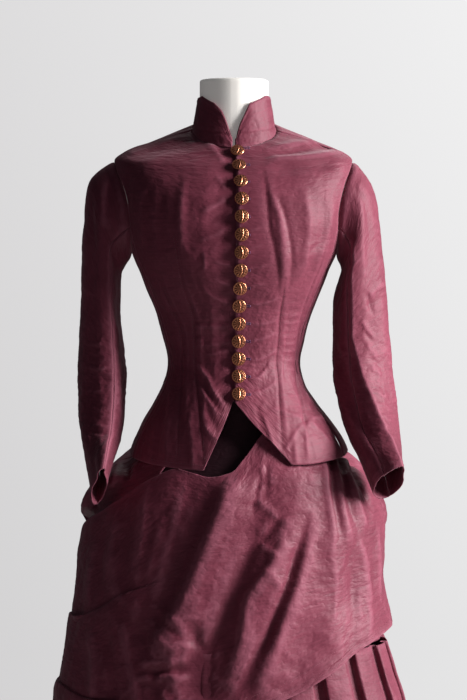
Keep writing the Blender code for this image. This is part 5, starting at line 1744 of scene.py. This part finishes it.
lights = (
    ("name", "place", "target", "size", "power", "colour"),
    ("window", (2.75, -0.66, 1.95), (0.0, 0.0, 1.0), (1.2, 1.8), 232.0, (1.0, 0.985, 0.965)),
    ("roomFill", (-1.2, -3.4, 2.0), (0.0, 0.0, 0.9), (2.4, 2.4), 2.0, (0.95, 0.97, 1.0)),
    ("backFill", (0.9, 2.5, 3.5), (0.0, 0.2, 0.9), (2.6, 2.0), 26.0, (1.0, 0.99, 0.97)),
)


def makeFloor():
    turn = np.linspace(0, 2 * pi, 97)[:-1]
    mesh = bpy.data.meshes.new("floorDisc")
    rim = np.stack([np.cos(turn), np.sin(turn), 0 * turn], axis=-1) * stage["floorRadius"]
    mesh.from_pydata((rim - (0, 0, 0.0002)).tolist(), [], [list(range(len(turn)))])
    material, tree, shader, place = newMaterial("pale painted floor", 0.7)
    colour = colourMix(tree, noise(tree, place, 1.3, 3.0), (0.36, 0.35, 0.345), (0.44, 0.43, 0.42))
    dull = spread(tree, noise(tree, place, 14.0), 0.3, 0.7, 0.6, 0.8)
    setSockets(tree, shader, {"Base Color": colour, "Roughness": dull})
    addObject("floorDisc", mesh, material)


def makeWorld():
    # a pale wall all round, a little lighter towards the window side; it lights the dress only faintly
    world = bpy.data.worlds.new("paleRoom")
    bpy.context.scene.world = world
    world.use_nodes = True
    tree = world.node_tree
    tree.nodes.clear()
    way = node(tree, "ShaderNodeTexCoord").outputs["Generated"]
    ways = node(tree, "ShaderNodeSeparateXYZ", {0: way}).outputs
    tone = spread(tree, ways[0], -0.12, 0.12, 0.0, 1.0)
    wall = colourMix(tree, tone, (0.715, 0.705, 0.712), (0.900, 0.898, 0.902))
    strength = spread(tree, ways[2], -0.14, 0.14, 0.89, 1.0)
    seen = node(tree, "ShaderNodeBackground", {"Color": wall, "Strength": strength})
    dim = node(tree, "ShaderNodeBackground", {"Color": (0.92, 0.94, 1.0, 1.0), "Strength": 0.045})
    isCamera = node(tree, "ShaderNodeLightPath").outputs["Is Camera Ray"]
    both = node(tree, "ShaderNodeMixShader", {0: isCamera, 1: dim.outputs[0], 2: seen.outputs[0]})
    out = tree.nodes.new("ShaderNodeOutputWorld")
    tree.links.new(both.outputs[0], out.inputs["Surface"])


def aim(obj, target):
    way = Vector(target) - obj.location
    obj.rotation_euler = way.to_track_quat("-Z", "Y").to_euler()


def addLight(name, place, target, size, power, colour):
    light = bpy.data.lights.new(name, "AREA")
    light.shape = "RECTANGLE"
    light.size, light.size_y = size
    light.energy = power
    light.color = colour
    obj = bpy.data.objects.new(name, light)
    bpy.context.scene.collection.objects.link(obj)
    obj.location = place
    aim(obj, target)


def makeCamera():
    camera = bpy.data.cameras.new("camera")
    camera.sensor_fit = "VERTICAL"
    camera.sensor_height = stage["sensor"]
    obj = bpy.data.objects.new("camera", camera)
    bpy.context.scene.collection.objects.link(obj)
    obj.location = stage["eye"]
    aim(obj, stage["target"])
    away = (Vector(stage["target"]) - obj.location).length
    camera.lens = stage["sensor"] * away / stage["viewHigh"]
    camera.clip_end = 40
    bpy.context.scene.camera = obj


makeFloor()
makeWorld()
for light in lights[1:]:
    addLight(*light)
makeCamera()
bpy.context.scene.view_settings.view_transform = "Standard"

print("scene ready")
